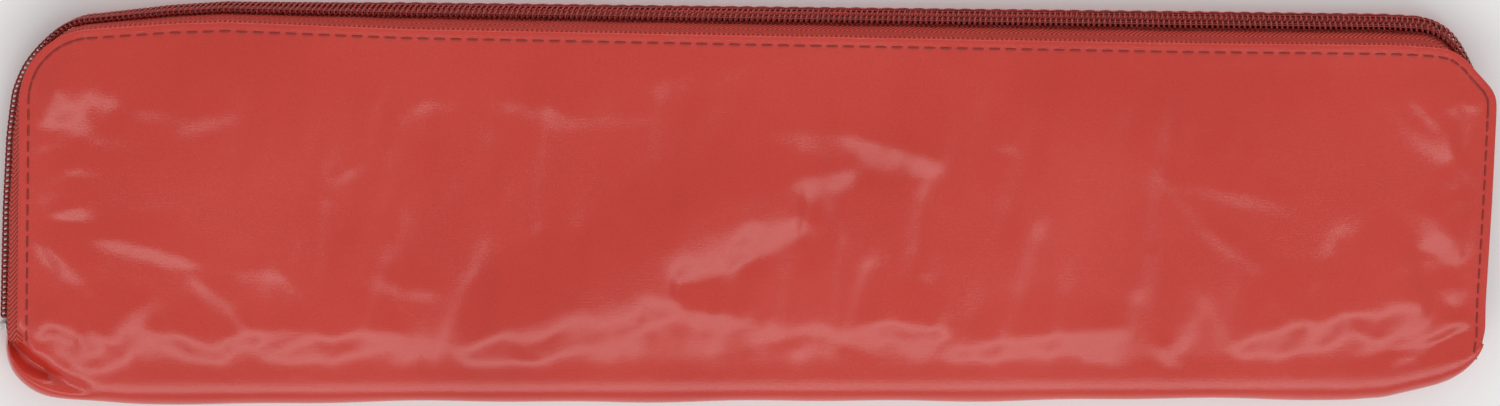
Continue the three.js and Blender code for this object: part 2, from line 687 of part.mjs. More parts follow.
const pouch = new THREE.Group();
pouch.add(
  named("front_panel", frontPanel(), "coated_cloth"),
  named("bottom_fold", bottomFold(), "coated_cloth"),
  named("back_panel", backPanel(), "coated_cloth"),
  named("front_topstitch", frontTopstitch(), "thread"),
  named("back_topstitch", backTopstitch(), "thread"),
  named("front_zip_tape", frontZipTape(), "zip_tape"),
  named("back_zip_tape", backZipTape(), "zip_tape"),
  named("front_zip_coil", coil(1), "coil_nylon"),
  named("back_zip_coil", coil(-1), "coil_nylon"),
  named("bottom_stop", bottomStop(), "stop_metal"),
  named("front_top_stop", topStop(1), "stop_metal"),
  named("back_top_stop", topStop(-1), "stop_metal"),
  named("left_end_tab", endTab(-1), "coated_cloth"),
  named("right_end_tab", endTab(1), "coated_cloth"),
  named("slider_body", sliderBody(), "slider_metal"),
  named("slider_bridge", sliderBridge(), "slider_metal"),
  named("pull_tab", pullTab(), "slider_metal"),
  named("fire_blanket", fireBlanket(), "glass_cloth"),
  named("left_pull_tape", pullTape(-1), "webbing"),
  named("right_pull_tape", pullTape(1), "webbing"),
);

// The origin is under the middle of the pouch.
const bounds = new THREE.Box3().setFromObject(pouch);
const middle = bounds.getCenter(new THREE.Vector3());
pouch.position.set(-middle.x, -middle.y, -bounds.min.z);

export default pouch;
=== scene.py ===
# %% [markdown]
# # A fire blanket in its zip pouch
# This lesson builds a long, flat pouch of glossy coated cloth with a folded glass-fibre blanket
# inside. The solids of the part are loaded first. They fix every size and every moving body,
# and the pieces made here are dressed round them. Lengths are written in millimetres and are
# turned into metres when a mesh is made, because millimetres are what a bag maker thinks in.

# %% Load the frame
import math

import bmesh
import bpy
import numpy as np
from mathutils import Matrix, Vector
from mathutils.geometry import delaunay_2d_cdt


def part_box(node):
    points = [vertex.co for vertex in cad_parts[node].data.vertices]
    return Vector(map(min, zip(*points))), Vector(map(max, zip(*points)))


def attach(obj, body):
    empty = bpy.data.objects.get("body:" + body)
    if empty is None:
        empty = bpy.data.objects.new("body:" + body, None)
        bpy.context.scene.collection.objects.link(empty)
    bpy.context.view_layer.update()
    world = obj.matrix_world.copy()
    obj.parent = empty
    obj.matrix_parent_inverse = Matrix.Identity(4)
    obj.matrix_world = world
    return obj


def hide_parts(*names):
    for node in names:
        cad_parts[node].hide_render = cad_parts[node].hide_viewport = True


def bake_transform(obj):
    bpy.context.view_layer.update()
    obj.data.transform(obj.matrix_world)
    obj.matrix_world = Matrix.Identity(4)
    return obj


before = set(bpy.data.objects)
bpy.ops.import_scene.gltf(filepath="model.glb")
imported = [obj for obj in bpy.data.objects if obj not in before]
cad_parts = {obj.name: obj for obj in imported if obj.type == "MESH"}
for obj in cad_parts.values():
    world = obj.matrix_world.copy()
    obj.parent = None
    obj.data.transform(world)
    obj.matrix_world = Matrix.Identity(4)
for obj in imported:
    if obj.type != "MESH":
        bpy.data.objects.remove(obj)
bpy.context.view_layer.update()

MM = 0.001


def corners(node):
    """Lowest and highest corner of a CAD node, in millimetres."""
    low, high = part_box(node)
    return np.array(low) / MM, np.array(high) / MM


# %% [markdown]
# ## The camera
# The pouch lies on its back and is seen from above, a little from the zip's side and a little
# from its left end. A long lens far away keeps the outline almost free of perspective, as in
# a catalogue picture. Its place is worked out from two small angles, so that it is easy to
# turn, and not from numbers found by dragging it about.

# %% Camera
TILT_TO_ZIP = math.radians(15)
TILT_TO_LEFT = math.radians(7)
LENS = 200
SENSOR = 36
VIEW_WIDTH = 423.4  # of the frame, where the pouch lies
AIM = Vector((-0.5, -0.1, 0)) * MM

camera = bpy.data.objects.new("camera", bpy.data.cameras.new("camera"))
bpy.context.scene.collection.objects.link(camera)
bpy.context.scene.camera = camera
camera.data.lens = LENS
camera.data.sensor_width = SENSOR
up = Vector((0, math.cos(TILT_TO_ZIP), -math.sin(TILT_TO_ZIP)))
lean_left, stand = math.sin(TILT_TO_LEFT), math.cos(TILT_TO_LEFT)
back = Vector((-lean_left, math.sin(TILT_TO_ZIP) * stand, math.cos(TILT_TO_ZIP) * stand))
turned = Matrix((up.cross(back), up, back)).transposed()
distance = VIEW_WIDTH * MM * LENS / SENSOR
camera.matrix_world = Matrix.Translation(AIM + back * distance) @ turned.to_4x4()
camera.data.clip_start = 0.05
camera.data.clip_end = 50
print("camera is", round(distance, 2), "m away")

# %% [markdown]
# ## Light and floor
# A glossy cloth shows its folds by what it mirrors. One wide softbox on the side of the bottom
# fold is mirrored by every slope that faces it, so the folds light up in crisp patches, while
# an even pale surround fills the shadows. Several small lamps would give several sets of
# patches, and the folds would be hard to read. A low strip light on the zip's side reaches
# under the front's edge to the chain, and is too low for the front to mirror.

# %% Light and floor
SURROUND = 0.62
BOX_DISTANCE = 1.5
BOX_ELEVATION = math.radians(51)
BOX_SIZE = (2.4, 0.56)
BOX_POWER = 9.0
FILL_ELEVATION = math.radians(24)
FILL_SIZE = (1.6, 0.25)
FILL_POWER = 5.0
FLOOR_SIDE = 8.0

world = bpy.data.worlds.new("studio")
bpy.context.scene.world = world
world.use_nodes = True
world.node_tree.nodes["Background"].inputs["Color"].default_value = (1, 1, 1, 1)
world.node_tree.nodes["Background"].inputs["Strength"].default_value = SURROUND
bpy.context.scene.view_settings.view_transform = "Standard"


def softbox(name, size, power, side, elevation):
    """An area light that looks at the pouch from the -Y side (side -1) or the +Y side (1)."""
    data = bpy.data.lights.new(name, "AREA")
    data.shape = "RECTANGLE"
    data.size, data.size_y = size
    data.energy = power
    lamp = bpy.data.objects.new(name, data)
    bpy.context.scene.collection.objects.link(lamp)
    way = Vector((0.04, side * math.cos(elevation), math.sin(elevation))).normalized()
    lamp.location = way * BOX_DISTANCE
    lamp.rotation_euler = way.to_track_quat("Z", "Y").to_euler()


softbox("softbox", BOX_SIZE, BOX_POWER, -1, BOX_ELEVATION)
softbox("zip_light", FILL_SIZE, FILL_POWER, 1, FILL_ELEVATION)

# %% [markdown]
# ## A few helpers
# Each piece is made from lists of points and faces. One helper turns them into an object at
# the origin, so that a pattern on Object coordinates is measured in the same place on every
# piece. Another makes a material and wires its nodes from a short description.


# %% Helpers for pieces
def new_piece(name, points, faces, *materials, smooth=True):
    """A mesh object from points in millimetres."""
    mesh = bpy.data.meshes.new(name)
    mesh.from_pydata((np.asarray(points, float) * MM).tolist(), [], [list(f) for f in faces])
    mesh.validate()
    for material in materials:
        mesh.materials.append(material)
    mesh.shade_smooth() if smooth else mesh.shade_flat()
    piece = bpy.data.objects.new(name, mesh)
    bpy.context.scene.collection.objects.link(piece)
    return piece


def grid_faces(rows, columns, closed=False):
    """Quads over points laid out row by row; closed joins the last column to the first."""
    wide = columns if closed else columns - 1
    return [
        (r * columns + c, r * columns + (c + 1) % columns,
         (r + 1) * columns + (c + 1) % columns, (r + 1) * columns + c)
        for r in range(rows - 1)
        for c in range(wide)
    ]


def add_modifier(piece, kind, **settings):
    modifier = piece.modifiers.new(kind.title(), kind)
    for key, value in settings.items():
        setattr(modifier, key, value)
    return modifier


def baked(piece):
    """Replaces a piece's mesh by what its modifiers make of it, and removes them."""
    graph = bpy.context.evaluated_depsgraph_get()
    made = bpy.data.meshes.new_from_object(piece.evaluated_get(graph))
    piece.modifiers.clear()
    piece.data = made
    made.name = piece.name
    return piece


def smoothstep(low, high, value):
    share = np.clip((value - low) / (high - low), 0, 1)
    return share * share * (3 - 2 * share)


# %% Helper for materials
class Finish:
    """A material whose nodes are added by name and linked from short descriptions."""

    def __init__(self, name, **settings):
        self.material = bpy.data.materials.new(name)
        self.material.use_nodes = True
        self.nodes = self.material.node_tree.nodes
        self.shader = self.nodes["Principled BSDF"]
        for key, value in settings.items():
            self.shader.inputs[key.replace("_", " ")].default_value = value
        place = self.node("ShaderNodeTexCoord").outputs["Object"]
        self.place = self.node("ShaderNodeVectorMath", operation="SCALE", Vector=place, Scale=1 / MM)

    def node(self, kind, output=0, settings=None, **inputs):
        made = self.nodes.new(kind)
        plain = {k: v for k, v in inputs.items() if k not in made.inputs and hasattr(made, k)}
        for key, value in {**plain, **(settings or {})}.items():
            setattr(made, key, value)
        for key, value in inputs.items():
            if key in plain:
                continue
            socket = made.inputs[int(key[1:]) if key[0] == "i" and key[1:].isdigit() else key]
            self.feed(socket, value)
        return made

    def feed(self, socket, value):
        if isinstance(value, bpy.types.Node):
            value = next(o for o in value.outputs if o.enabled)
        if isinstance(value, bpy.types.NodeSocket):
            self.material.node_tree.links.new(value, socket)
        else:
            socket.default_value = value

    def noise(self, scale, detail=2.0, place=None):
        made = self.node("ShaderNodeTexNoise", Vector=place or self.place, Scale=scale, Detail=detail)
        return made.outputs["Fac"]

    def math(self, operation, first, second=0.0):
        return self.node("ShaderNodeMath", operation=operation, i0=first, i1=second).outputs[0]

    def ramp(self, value, *stops):
        made = self.node("ShaderNodeValToRGB", Fac=value)
        elements = made.color_ramp.elements
        while len(elements) < len(stops):
            elements.new(0.5)
        for element, (at, colour) in zip(elements, stops):
            element.position = at
            element.color = (*colour, 1) if isinstance(colour, tuple) else (colour,) * 3 + (1,)
        return made.outputs["Color"]

    def colour(self, value):
        self.feed(self.shader.inputs["Base Color"], value)

    def roughness(self, value, low, high):
        made = self.node("ShaderNodeMapRange", Value=value)
        made.inputs["To Min"].default_value = low
        made.inputs["To Max"].default_value = high
        self.feed(self.shader.inputs["Roughness"], made.outputs[0])

    def bump(self, *layers):
        """Each layer is (height, strength, depth in millimetres)."""
        normal = None
        for height, strength, depth in layers:
            made = self.node("ShaderNodeBump", Height=height, Strength=strength, Distance=depth * MM)
            if normal:
                self.feed(made.inputs["Normal"], normal)
            normal = made.outputs["Normal"]
        self.feed(self.shader.inputs["Normal"], normal)


# %% [markdown]
# ## Coated cloth
# The pouch is a plain-woven polyester with a glossy coating on its face. The coating mirrors
# the softbox crisply, and the yarns under it break the mirror into a fine sparkle. Two crossed
# waves make the weave and a noise makes the grain. A picture of cloth would do the same from
# one distance only, while nodes stay sharp at any distance. The same cloth is dull and open
# on its inside, so it gets a second finish there.

# %% Coated cloth
RED = (0.560, 0.036, 0.022)
RED_DEEP = (0.500, 0.027, 0.016)
RED_PALE = (0.600, 0.050, 0.034)


def woven(finish, pitch):
    """Height of a plain weave: two crossed waves of yarns."""
    period = math.pi / 5 / pitch  # a wave texture repeats every pi / 10 at scale 1
    yarns = [
        finish.node("ShaderNodeTexWave", Vector=finish.place, Scale=period / 2,
                    settings={"bands_direction": axis}).outputs["Fac"]
        for axis in ("X", "Y")
    ]
    return finish.math("MULTIPLY", *yarns)


def coated_cloth():
    finish = Finish("coated_cloth", Specular_IOR_Level=0.52, Coat_Weight=0.05, Coat_Roughness=0.15)
    clouds = finish.noise(0.018, 3)
    speckle = finish.noise(2.6, 1)
    mixed = finish.math("ADD", finish.math("MULTIPLY", clouds, 0.6), finish.math("MULTIPLY", speckle, 0.4))
    finish.colour(finish.ramp(mixed, (0.30, RED_DEEP), (0.50, RED), (0.70, RED_PALE)))
    finish.roughness(finish.noise(1.3, 2), 0.13, 0.24)
    finish.bump((woven(finish, 0.42), 0.25, 0.05), (finish.noise(2.4, 2), 0.55, 0.10),
                (finish.noise(0.16, 2), 0.35, 0.25))
    return finish.material


def cloth_inside():
    finish = Finish("cloth_inside", Specular_IOR_Level=0.35)
    tone = finish.math("ADD", finish.math("MULTIPLY", woven(finish, 0.42), 0.5), finish.noise(0.9, 3))
    finish.colour(finish.ramp(tone, (0.35, (0.30, 0.022, 0.016)), (0.95, (0.47, 0.050, 0.038))))
    finish.roughness(finish.noise(1.1, 2), 0.62, 0.80)
    finish.bump((woven(finish, 0.42), 0.6, 0.10), (finish.noise(0.22, 2), 0.4, 0.3))
    return finish.material


COATED, INSIDE = coated_cloth(), cloth_inside()

# %% [markdown]
# ## Zip tape, chain, thread and metal
# The zip tape is a herringbone twill: fine ribs that lean one way and then the other in narrow
# bands along the tape. The pattern has to turn with the tape at the pouch's corners, so it
# reads the tape's own UV map, which holds millimetres along and across the tape.

# %% Zip tape
RIB_PITCH = 1.35
BAND_WIDTH = 3.4


def zip_tape():
    finish = Finish("zip_tape", Specular_IOR_Level=0.3)
    uv = finish.node("ShaderNodeUVMap", settings={"uv_map": "weave"}).outputs["UV"]
    parts = finish.node("ShaderNodeSeparateXYZ", Vector=uv).outputs
    band = finish.math("PINGPONG", parts["Y"], BAND_WIDTH)
    slant = finish.math("ADD", parts["X"], finish.math("MULTIPLY", band, 0.95))
    rib = finish.math("SINE", finish.math("MULTIPLY", slant, 2 * math.pi / RIB_PITCH))
    rib = finish.math("MULTIPLY_ADD", rib, 0.5)
    rib.node.inputs[2].default_value = 0.5
    yarn = finish.math("SINE", finish.math("MULTIPLY", parts["Y"], 2 * math.pi / 0.42))
    height = finish.math("ADD", rib, finish.math("MULTIPLY", yarn, 0.18))
    fuzz = finish.noise(2.4, 3)
    tone = finish.math("ADD", finish.math("MULTIPLY", rib, 0.62), finish.math("MULTIPLY", fuzz, 0.38))
    finish.colour(finish.ramp(tone, (0.15, (0.30, 0.020, 0.013)), (0.55, (0.62, 0.050, 0.034)),
                              (0.90, (0.80, 0.11, 0.08))))
    finish.roughness(fuzz, 0.45, 0.7)
    finish.bump((height, 0.85, 0.32), (fuzz, 0.4, 0.08))
    return finish.material


# %% Nylon chain, thread, metals
def coil_nylon():
    finish = Finish("coil_nylon", Specular_IOR_Level=0.6)
    finish.colour(finish.ramp(finish.noise(1.4, 2), (0.35, (0.26, 0.017, 0.011)),
                              (0.7, (0.44, 0.036, 0.026))))
    finish.roughness(finish.noise(3.0, 1), 0.2, 0.34)
    finish.bump((finish.noise(6.0, 1), 0.15, 0.03))
    return finish.material


def sewing_thread():
    finish = Finish("thread", Specular_IOR_Level=0.4)
    twist = finish.node("ShaderNodeTexWave", Vector=finish.place, Scale=1.1,
                        settings={"bands_direction": "DIAGONAL"}).outputs["Fac"]
    finish.colour(finish.ramp(twist, (0.1, (0.18, 0.013, 0.009)), (0.8, (0.36, 0.030, 0.022))))
    finish.roughness(finish.noise(4.0, 2), 0.42, 0.62)
    finish.bump((twist, 0.6, 0.08))
    return finish.material


def painted_metal():
    finish = Finish("slider_metal", Metallic=0.0, Specular_IOR_Level=0.6, Coat_Weight=0.5,
                    Coat_Roughness=0.08)
    worn = finish.noise(0.8, 4)
    finish.colour(finish.ramp(worn, (0.32, (0.22, 0.014, 0.010)), (0.62, (0.36, 0.025, 0.018)),
                              (0.80, (0.42, 0.045, 0.036))))
    finish.roughness(finish.noise(2.0, 3), 0.2, 0.4)
    finish.bump((finish.noise(2.6, 3), 0.18, 0.06))
    return finish.material


def stop_metal():
    finish = Finish("stop_metal", Metallic=1.0)
    finish.colour(finish.ramp(finish.noise(1.8, 4), (0.3, (0.46, 0.45, 0.42)), (0.7, (0.74, 0.73, 0.70))))
    finish.roughness(finish.noise(3.0, 3), 0.22, 0.42)
    finish.bump((finish.noise(3.5, 2), 0.2, 0.05))
    return finish.material


TAPE_FINISH, COIL_FINISH, THREAD_FINISH = zip_tape(), coil_nylon(), sewing_thread()
PAINTED, BARE = painted_metal(), stop_metal()


# %% Glass cloth, webbing and floor
def glass_cloth():
    finish = Finish("glass_cloth", Specular_IOR_Level=0.5, Sheen_Weight=0.15, Sheen_Roughness=0.4)
    tone = finish.math("ADD", finish.math("MULTIPLY", woven(finish, 0.9), 0.35), finish.noise(0.35, 4))
    finish.colour(finish.ramp(tone, (0.30, (0.60, 0.58, 0.50)), (0.60, (0.78, 0.76, 0.68)),
                              (0.95, (0.86, 0.85, 0.79))))
    finish.roughness(finish.noise(0.7, 3), 0.55, 0.75)
    finish.bump((woven(finish, 0.9), 0.55, 0.16), (finish.noise(1.8, 2), 0.25, 0.08),
                (finish.noise(0.09, 2), 0.35, 0.5))
    return finish.material


def webbing():
    finish = Finish("webbing", Specular_IOR_Level=0.35)
    ribs = finish.node("ShaderNodeTexWave", Vector=finish.place, Scale=0.21,
                       settings={"bands_direction": "X"}).outputs["Fac"]
    cross = finish.node("ShaderNodeTexWave", Vector=finish.place, Scale=0.16, Distortion=0.6,
                        settings={"bands_direction": "Y"}).outputs["Fac"]
    height = finish.math("ADD", finish.math("MULTIPLY", ribs, 0.6), finish.math("MULTIPLY", cross, 0.4))
    finish.colour(finish.ramp(height, (0.2, (0.008, 0.008, 0.009)), (0.8, (0.030, 0.030, 0.033))))
    finish.roughness(finish.noise(2.0, 2), 0.6, 0.85)
    finish.bump((height, 0.8, 0.25), (finish.noise(4.0, 2), 0.3, 0.06))
    return finish.material


def studio_floor():
    finish = Finish("floor", Specular_IOR_Level=0.2, Roughness=0.8)
    finish.colour(finish.ramp(finish.noise(0.004, 2), (0.3, (0.91, 0.91, 0.91)), (0.7, (0.93, 0.93, 0.93))))
    return finish.material


GLASS, WEBBING = glass_cloth(), webbing()
half = FLOOR_SIDE / 2 / MM
floor = new_piece("floor", [(-half, -half, 0), (half, -half, 0), (half, half, 0), (-half, half, 0)],
                  [(0, 1, 2, 3)], studio_floor(), smooth=False)

# %% [markdown]
# ## Where the zip runs
# The zip starts at the lower left, climbs the left end, follows the top edge and comes down
# the right end. Everything on it, tape, chain, stitches and lip, is placed by two numbers: how
# far along the zip it is and how high above the floor. One function turns the two into a point,
# so that all of them follow the same line. The wall leans out at the foot along the top, stands
# out at chain height on the left, and is tucked in under the front on the right.

# %% The zip's line
panel_low, panel_high = corners("front_panel")
back_low, back_high = corners("back_panel")
CLOTH = 0.5
TAPE = 0.6
GAP = 0.3
EDGE_TOP = panel_low[2] + CLOTH
TAPE_TOP = EDGE_TOP - CLOTH - GAP - TAPE / 2
CHAIN_Z = corners("pull_tab")[0][2] + 3.0
CHAIN_TOP = CHAIN_Z + 4.6
TAPE_FOOT = CLOTH + GAP
LEFT_END = corners("left_end_tab")[0][1]
RIGHT_END = corners("right_end_tab")[0][1]
RADIUS_RIGHT = 18.0
LEAN_HEIGHTS = [TAPE_FOOT, CHAIN_Z - 3, CHAIN_Z + 3.2, CHAIN_TOP, TAPE_TOP, EDGE_TOP]
LEAN = {"left": [-1.0, 0.0, 2.1, 2.4, -0.8, 0.0], "top": [3.7, 3.7, 1.2, 0.8, -0.3, 0.0],
        "right": [-6.8, -6.8, -6.8, -6.8, -0.8, 0.0]}
CORNER_HEIGHTS, CORNER_RADII = [4.0, 14.0], [24.0, 19.0]  # top left, squarer at the front's edge


def side_at(side, z):
    return np.interp(z, LEAN_HEIGHTS, LEAN[side])


def sides(z):
    """Left, top and right edge of the zip wall at a height, and its top left radius."""
    return (panel_low[0] - side_at("left", z), panel_high[1] + side_at("top", z),
            panel_high[0] + side_at("right", z), np.interp(z, CORNER_HEIGHTS, CORNER_RADII))


def leg_lengths():
    left, top, right, radius = sides(CHAIN_Z)
    return np.array([top - radius - LEFT_END, radius * math.pi / 2, right - RADIUS_RIGHT - left - radius,
                     RADIUS_RIGHT * math.pi / 2, top - RADIUS_RIGHT - RIGHT_END])


LEGS = leg_lengths()
STARTS = np.concatenate([[0], np.cumsum(LEGS)])
ZIP_LENGTH = STARTS[-1]
print("the zip is", round(float(ZIP_LENGTH), 1), "mm long")


def zip_line(along, z):
    """Points and outward directions on the zip wall, at distances along it and heights."""
    along, z = np.broadcast_arrays(np.asarray(along, float), np.asarray(z, float))
    left, top, right, radius = sides(z)
    leg = np.clip(np.searchsorted(STARTS, along, "right") - 1, 0, 4)
    share = (along - STARTS[leg]) / LEGS[leg]
    angle = np.select([leg == 0, leg == 1, leg == 2, leg == 3],
                      [math.pi, math.pi * (1 - share / 2), math.pi / 2, math.pi / 2 * (1 - share)], 0.0)
    nx, ny = np.cos(angle), np.sin(angle)
    corner_x = np.where(leg < 2, left + radius, right - RADIUS_RIGHT)
    corner_y = np.where(leg < 2, top - radius, top - RADIUS_RIGHT)
    turn = np.where(leg < 2, radius, RADIUS_RIGHT)
    x, y = corner_x + turn * nx, corner_y + turn * ny
    x = np.where(leg == 2, left + radius + share * (right - RADIUS_RIGHT - left - radius), x)
    y = np.select([leg == 0, leg == 2, leg == 4], [LEFT_END + share * (top - radius - LEFT_END), top,
                  top - RADIUS_RIGHT - share * (top - RADIUS_RIGHT - RIGHT_END)], y)
    return np.stack([x, y, z], -1), np.stack([nx, ny, 0 * nx], -1)


# %% [markdown]
# ## How the full pouch settles
# A stuffed pouch is never quite a rectangle. Its top edge bows up where the blanket fills it and
# drops towards the empty right end, and its lower right corner draws in. Instead of bending
# every piece by hand, one function moves any point of the soft pieces, so pieces that touch
# stay touching.

# %% Settling
BOW_X = [-212, -200, -186, -165, -150, -100, 0, 120, 178, 200, 212]
BOW_FRONT = [0.6, 0.8, 1.7, 3.2, 3.7, 1.8, 0.1, -1.7, -2.1, -3.0, -3.6]
BOW_FOOT = [-5.0, -5.0, -3.6, -0.6, 0.6, 0.9, 0.0, -1.0, -1.6, -2.8, -3.4]
DRAW_X = [-212, -205, -197, -190, -175, 100, 172, 182, 195, 203, 213]
DRAW_IN = [3.5, 4.2, 3.0, 2.2, 1.4, 1.6, 1.6, 2.2, 5.5, 7.6, 9.3]
WALL_Y = [-45, -34, 0, 21, 38, 60]
WALL_IN = [1.6, 0.0, 0.4, 1.2, 3.0, 3.2]  # of the left wall, under the front's edge
DENT_AT, DENT_REACH, DENT = (204, 47), 6.5, (1.0, 2.0)  # the upper right corner is knocked flat
TAPE_DIVE = 6.0  # of the tape's lower left end, into the tuck
TUCK_Y = [-50, -43, -35, -25, 4, 37, 50]
TUCK_IN = [3.2, 2.2, 1.4, 1.7, 1.5, 1.7, 1.2]
FRONT_RISE = (13.2, 14.6)  # heights over which the wall turns into the front
LEFT_PUSH, RIGHT_TUCK = (-186, -204), (196, 208)  # x where each end's move starts and is full
FOOT_CLOTH, FOOT_TAPE = (-38, -41), (-36, -39)  # y where the right end's move reaches the foot


def settled(points, cloth=False, wall=None):
    """Moves points of soft pieces from the plain pouch to the filled one.

    The zip's side is bowed, and the right end is tucked in, with a dent at its upper corner. The
    cloth is also drawn in at the bottom, and the wall of the zip is pushed in at its left.
    """
    wall = not cloth if wall is None else wall
    points = np.array(points, float)
    x, y, z = points.T.copy()
    high = np.clip((z - 1) / 13, 0, 1)
    bow = np.interp(x, BOW_X, BOW_FOOT) * (1 - high) + np.interp(x, BOW_X, BOW_FRONT) * high
    points[:, 1] += bow * smoothstep(26, 46, y)
    front = smoothstep(*FRONT_RISE, z)
    if cloth:
        points[:, 1] += np.interp(x, DRAW_X, DRAW_IN) * smoothstep(-26, -58, y)
        points[:, 0] -= 1.5 * smoothstep(-34, -42, y) * smoothstep(-190, -206, x)
    if wall:
        left = smoothstep(*LEFT_PUSH, x)
        points[:, 0] += np.interp(y, WALL_Y, WALL_IN) * (1 - front) * left
        points[:, 2] -= TAPE_DIVE * left * smoothstep(-35, -42, y) * smoothstep(8, 14, z)
    tucked = np.maximum(front, smoothstep(*(FOOT_CLOTH if cloth else FOOT_TAPE), y))
    points[:, 0] -= np.interp(y, TUCK_Y, TUCK_IN) * tucked * smoothstep(*RIGHT_TUCK, x)
    dent = np.exp(-((x - DENT_AT[0]) ** 2 + (y - DENT_AT[1]) ** 2) / (2 * DENT_REACH**2))
    points[:, :2] -= np.outer(dent, DENT)
    return points

# %% [markdown]
# ## The front cloth
# The front, the rounded bottom and the back are one cut of cloth. The front could be a plate
# with a bump map, but then its outline would stay straight and its folds would vanish from the
# side. It is made as a real sheet instead: an even mesh fills the front's outline, a strip runs
# on from its lower edge round the bottom, and a second strip turns the other edges under as
# a sewn hem. An even mesh matters, because a cloth simulation makes folds as large as its cells.

# %% Front cloth: outline and flat mesh
STEP = 2.2  # mesh cell
SHELL = 0.28  # cloth, as modelled
HEM_ROLL = [(-0.12, -0.10), (0.0, -0.36), (-0.12, -0.62), (-0.5, -0.72), (-3.2, -0.72), (-6.4, -0.72)]
FOLD_STEPS = 14
FOLD_BULGE, FOLD_BULGE_SIDE = 7.4, 0.5
RADIUS_BR, RADIUS_BL = 6.0, 12.0
BOTTOM_CELLS = int((panel_high[0] - panel_low[0]) / STEP)


def arc_points(cx, cy, radius, start, end):
    angles = np.linspace(start, end, int(radius * abs(end - start) / STEP * 1.4) + 1)[:-1]
    return [(cx + radius * math.cos(t), cy + radius * math.sin(t), math.cos(t), math.sin(t)) for t in angles]


def bottom_line(left, right, bottom):
    """From the zip's right end round the bottom to its left end: x, y and outward direction."""
    quarter = math.pi / 2
    line = [(right, RIGHT_END, 1, 0)]
    line += arc_points(right - RADIUS_BR, bottom + RADIUS_BR, RADIUS_BR, 0, -quarter)
    xs = np.linspace(right - RADIUS_BR, left + RADIUS_BL, BOTTOM_CELLS + 1)[:-1]
    line += [(x, bottom, 0, -1) for x in xs]
    line += arc_points(left + RADIUS_BL, bottom + RADIUS_BL, RADIUS_BL, -quarter, -2 * quarter)
    return np.array(line + [(left, bottom + RADIUS_BL, -1, 0), (left, LEFT_END, -1, 0)])


zip_steps = np.linspace(0, ZIP_LENGTH, int(ZIP_LENGTH / STEP) + 1)
hem_line, hem_out = zip_line(zip_steps, EDGE_TOP)
low_line = bottom_line(panel_low[0], panel_high[0], panel_low[1])
low_back = bottom_line(back_low[0], back_high[0], panel_low[1])
INSET = 0.4
edge_points = np.concatenate([hem_line[:, :2] - INSET * hem_out[:, :2], low_line[1:-1, :2]])
edge_count, zip_count = len(edge_points), len(hem_line)


def front_mesh():
    """Fills the front's outline with an even mesh; the first points are the outline's."""
    xs = np.arange(panel_low[0] + STEP, panel_high[0] - 0.5 * STEP, STEP)
    ys = np.arange(panel_low[1] + STEP * 0.9, panel_high[1] - 0.5 * STEP, STEP)
    inner = np.stack(np.meshgrid(xs, ys), -1).reshape(-1, 2)
    a, b = edge_points, np.roll(edge_points, -1, 0)
    crosses = ((a[:, 1] > inner[:, None, 1]) != (b[:, 1] > inner[:, None, 1]))
    at = (b[:, 0] - a[:, 0]) * (inner[:, None, 1] - a[:, 1]) / (b[:, 1] - a[:, 1] + 1e-12) + a[:, 0]
    inside = (crosses & (inner[:, None, 0] < at)).sum(1) % 2 == 1
    near = np.sqrt(((inner[:, None] - a) ** 2).sum(-1)).min(1)
    inner = inner[inside & (near > 0.62 * STEP)]
    points = [Vector(p) for p in (*edge_points, *inner)]
    ring = [(k, (k + 1) % edge_count) for k in range(edge_count)]
    made, _, faces, origin, _, _ = delaunay_2d_cdt(points, ring, [], 1, 1e-7)
    index = {source: k for k, sources in enumerate(origin) for source in sources}
    order = [index[k] for k in range(edge_count)]
    order += [k for k in range(len(made)) if k not in set(order)]
    place = {old: new for new, old in enumerate(order)}
    flat = np.array([made[k] for k in order])
    return flat, [tuple(place[v] for v in face) for face in faces]


flat_points, flat_faces = front_mesh()
print("front mesh:", len(flat_points), "points,", len(flat_faces), "triangles")

# %% [markdown]
# ## The front's height
# The front lies on the folded blanket, so it is a low plateau that falls to its seams. It sinks
# past the blanket's right end, where the pouch is empty. Along the bottom it slopes down to
# a soft crease before the cloth turns under.

# %% Front cloth: height over the blanket
STITCH_INSET = 2.6
PLATEAU, PLATEAU_EMPTY = 16.8, 16.3
BLANKET_END = corners("fire_blanket")[1][0]


def edge_distance(points):
    """Distance of points from the zip's edge of the front, in millimetres."""
    return np.concatenate([
        np.sqrt(((chunk[:, None, :2] - hem_line[None, :, :2]) ** 2).sum(-1)).min(1)
        for chunk in np.array_split(points, 16)
    ])


def front_height(points):
    x, y = points[:, 0], points[:, 1]
    inside = edge_distance(points)
    plateau = PLATEAU + (PLATEAU_EMPTY - PLATEAU) * smoothstep(BLANKET_END - 4, BLANKET_END + 9, x)
    height = EDGE_TOP + (plateau - EDGE_TOP) * (1 - np.exp(-np.clip(inside - 3.5, 0, None) / 9))
    rim, groove = ((inside - 1.1) / 0.9) ** 2, ((inside - STITCH_INSET) / 0.7) ** 2
    height += 0.30 * np.exp(-rim) - 0.22 * np.exp(-groove)
    drop = np.clip((-30 - y) / 16, 0, 1)
    shelf = EDGE_TOP + 0.25
    return height + (shelf - height) * drop**1.7
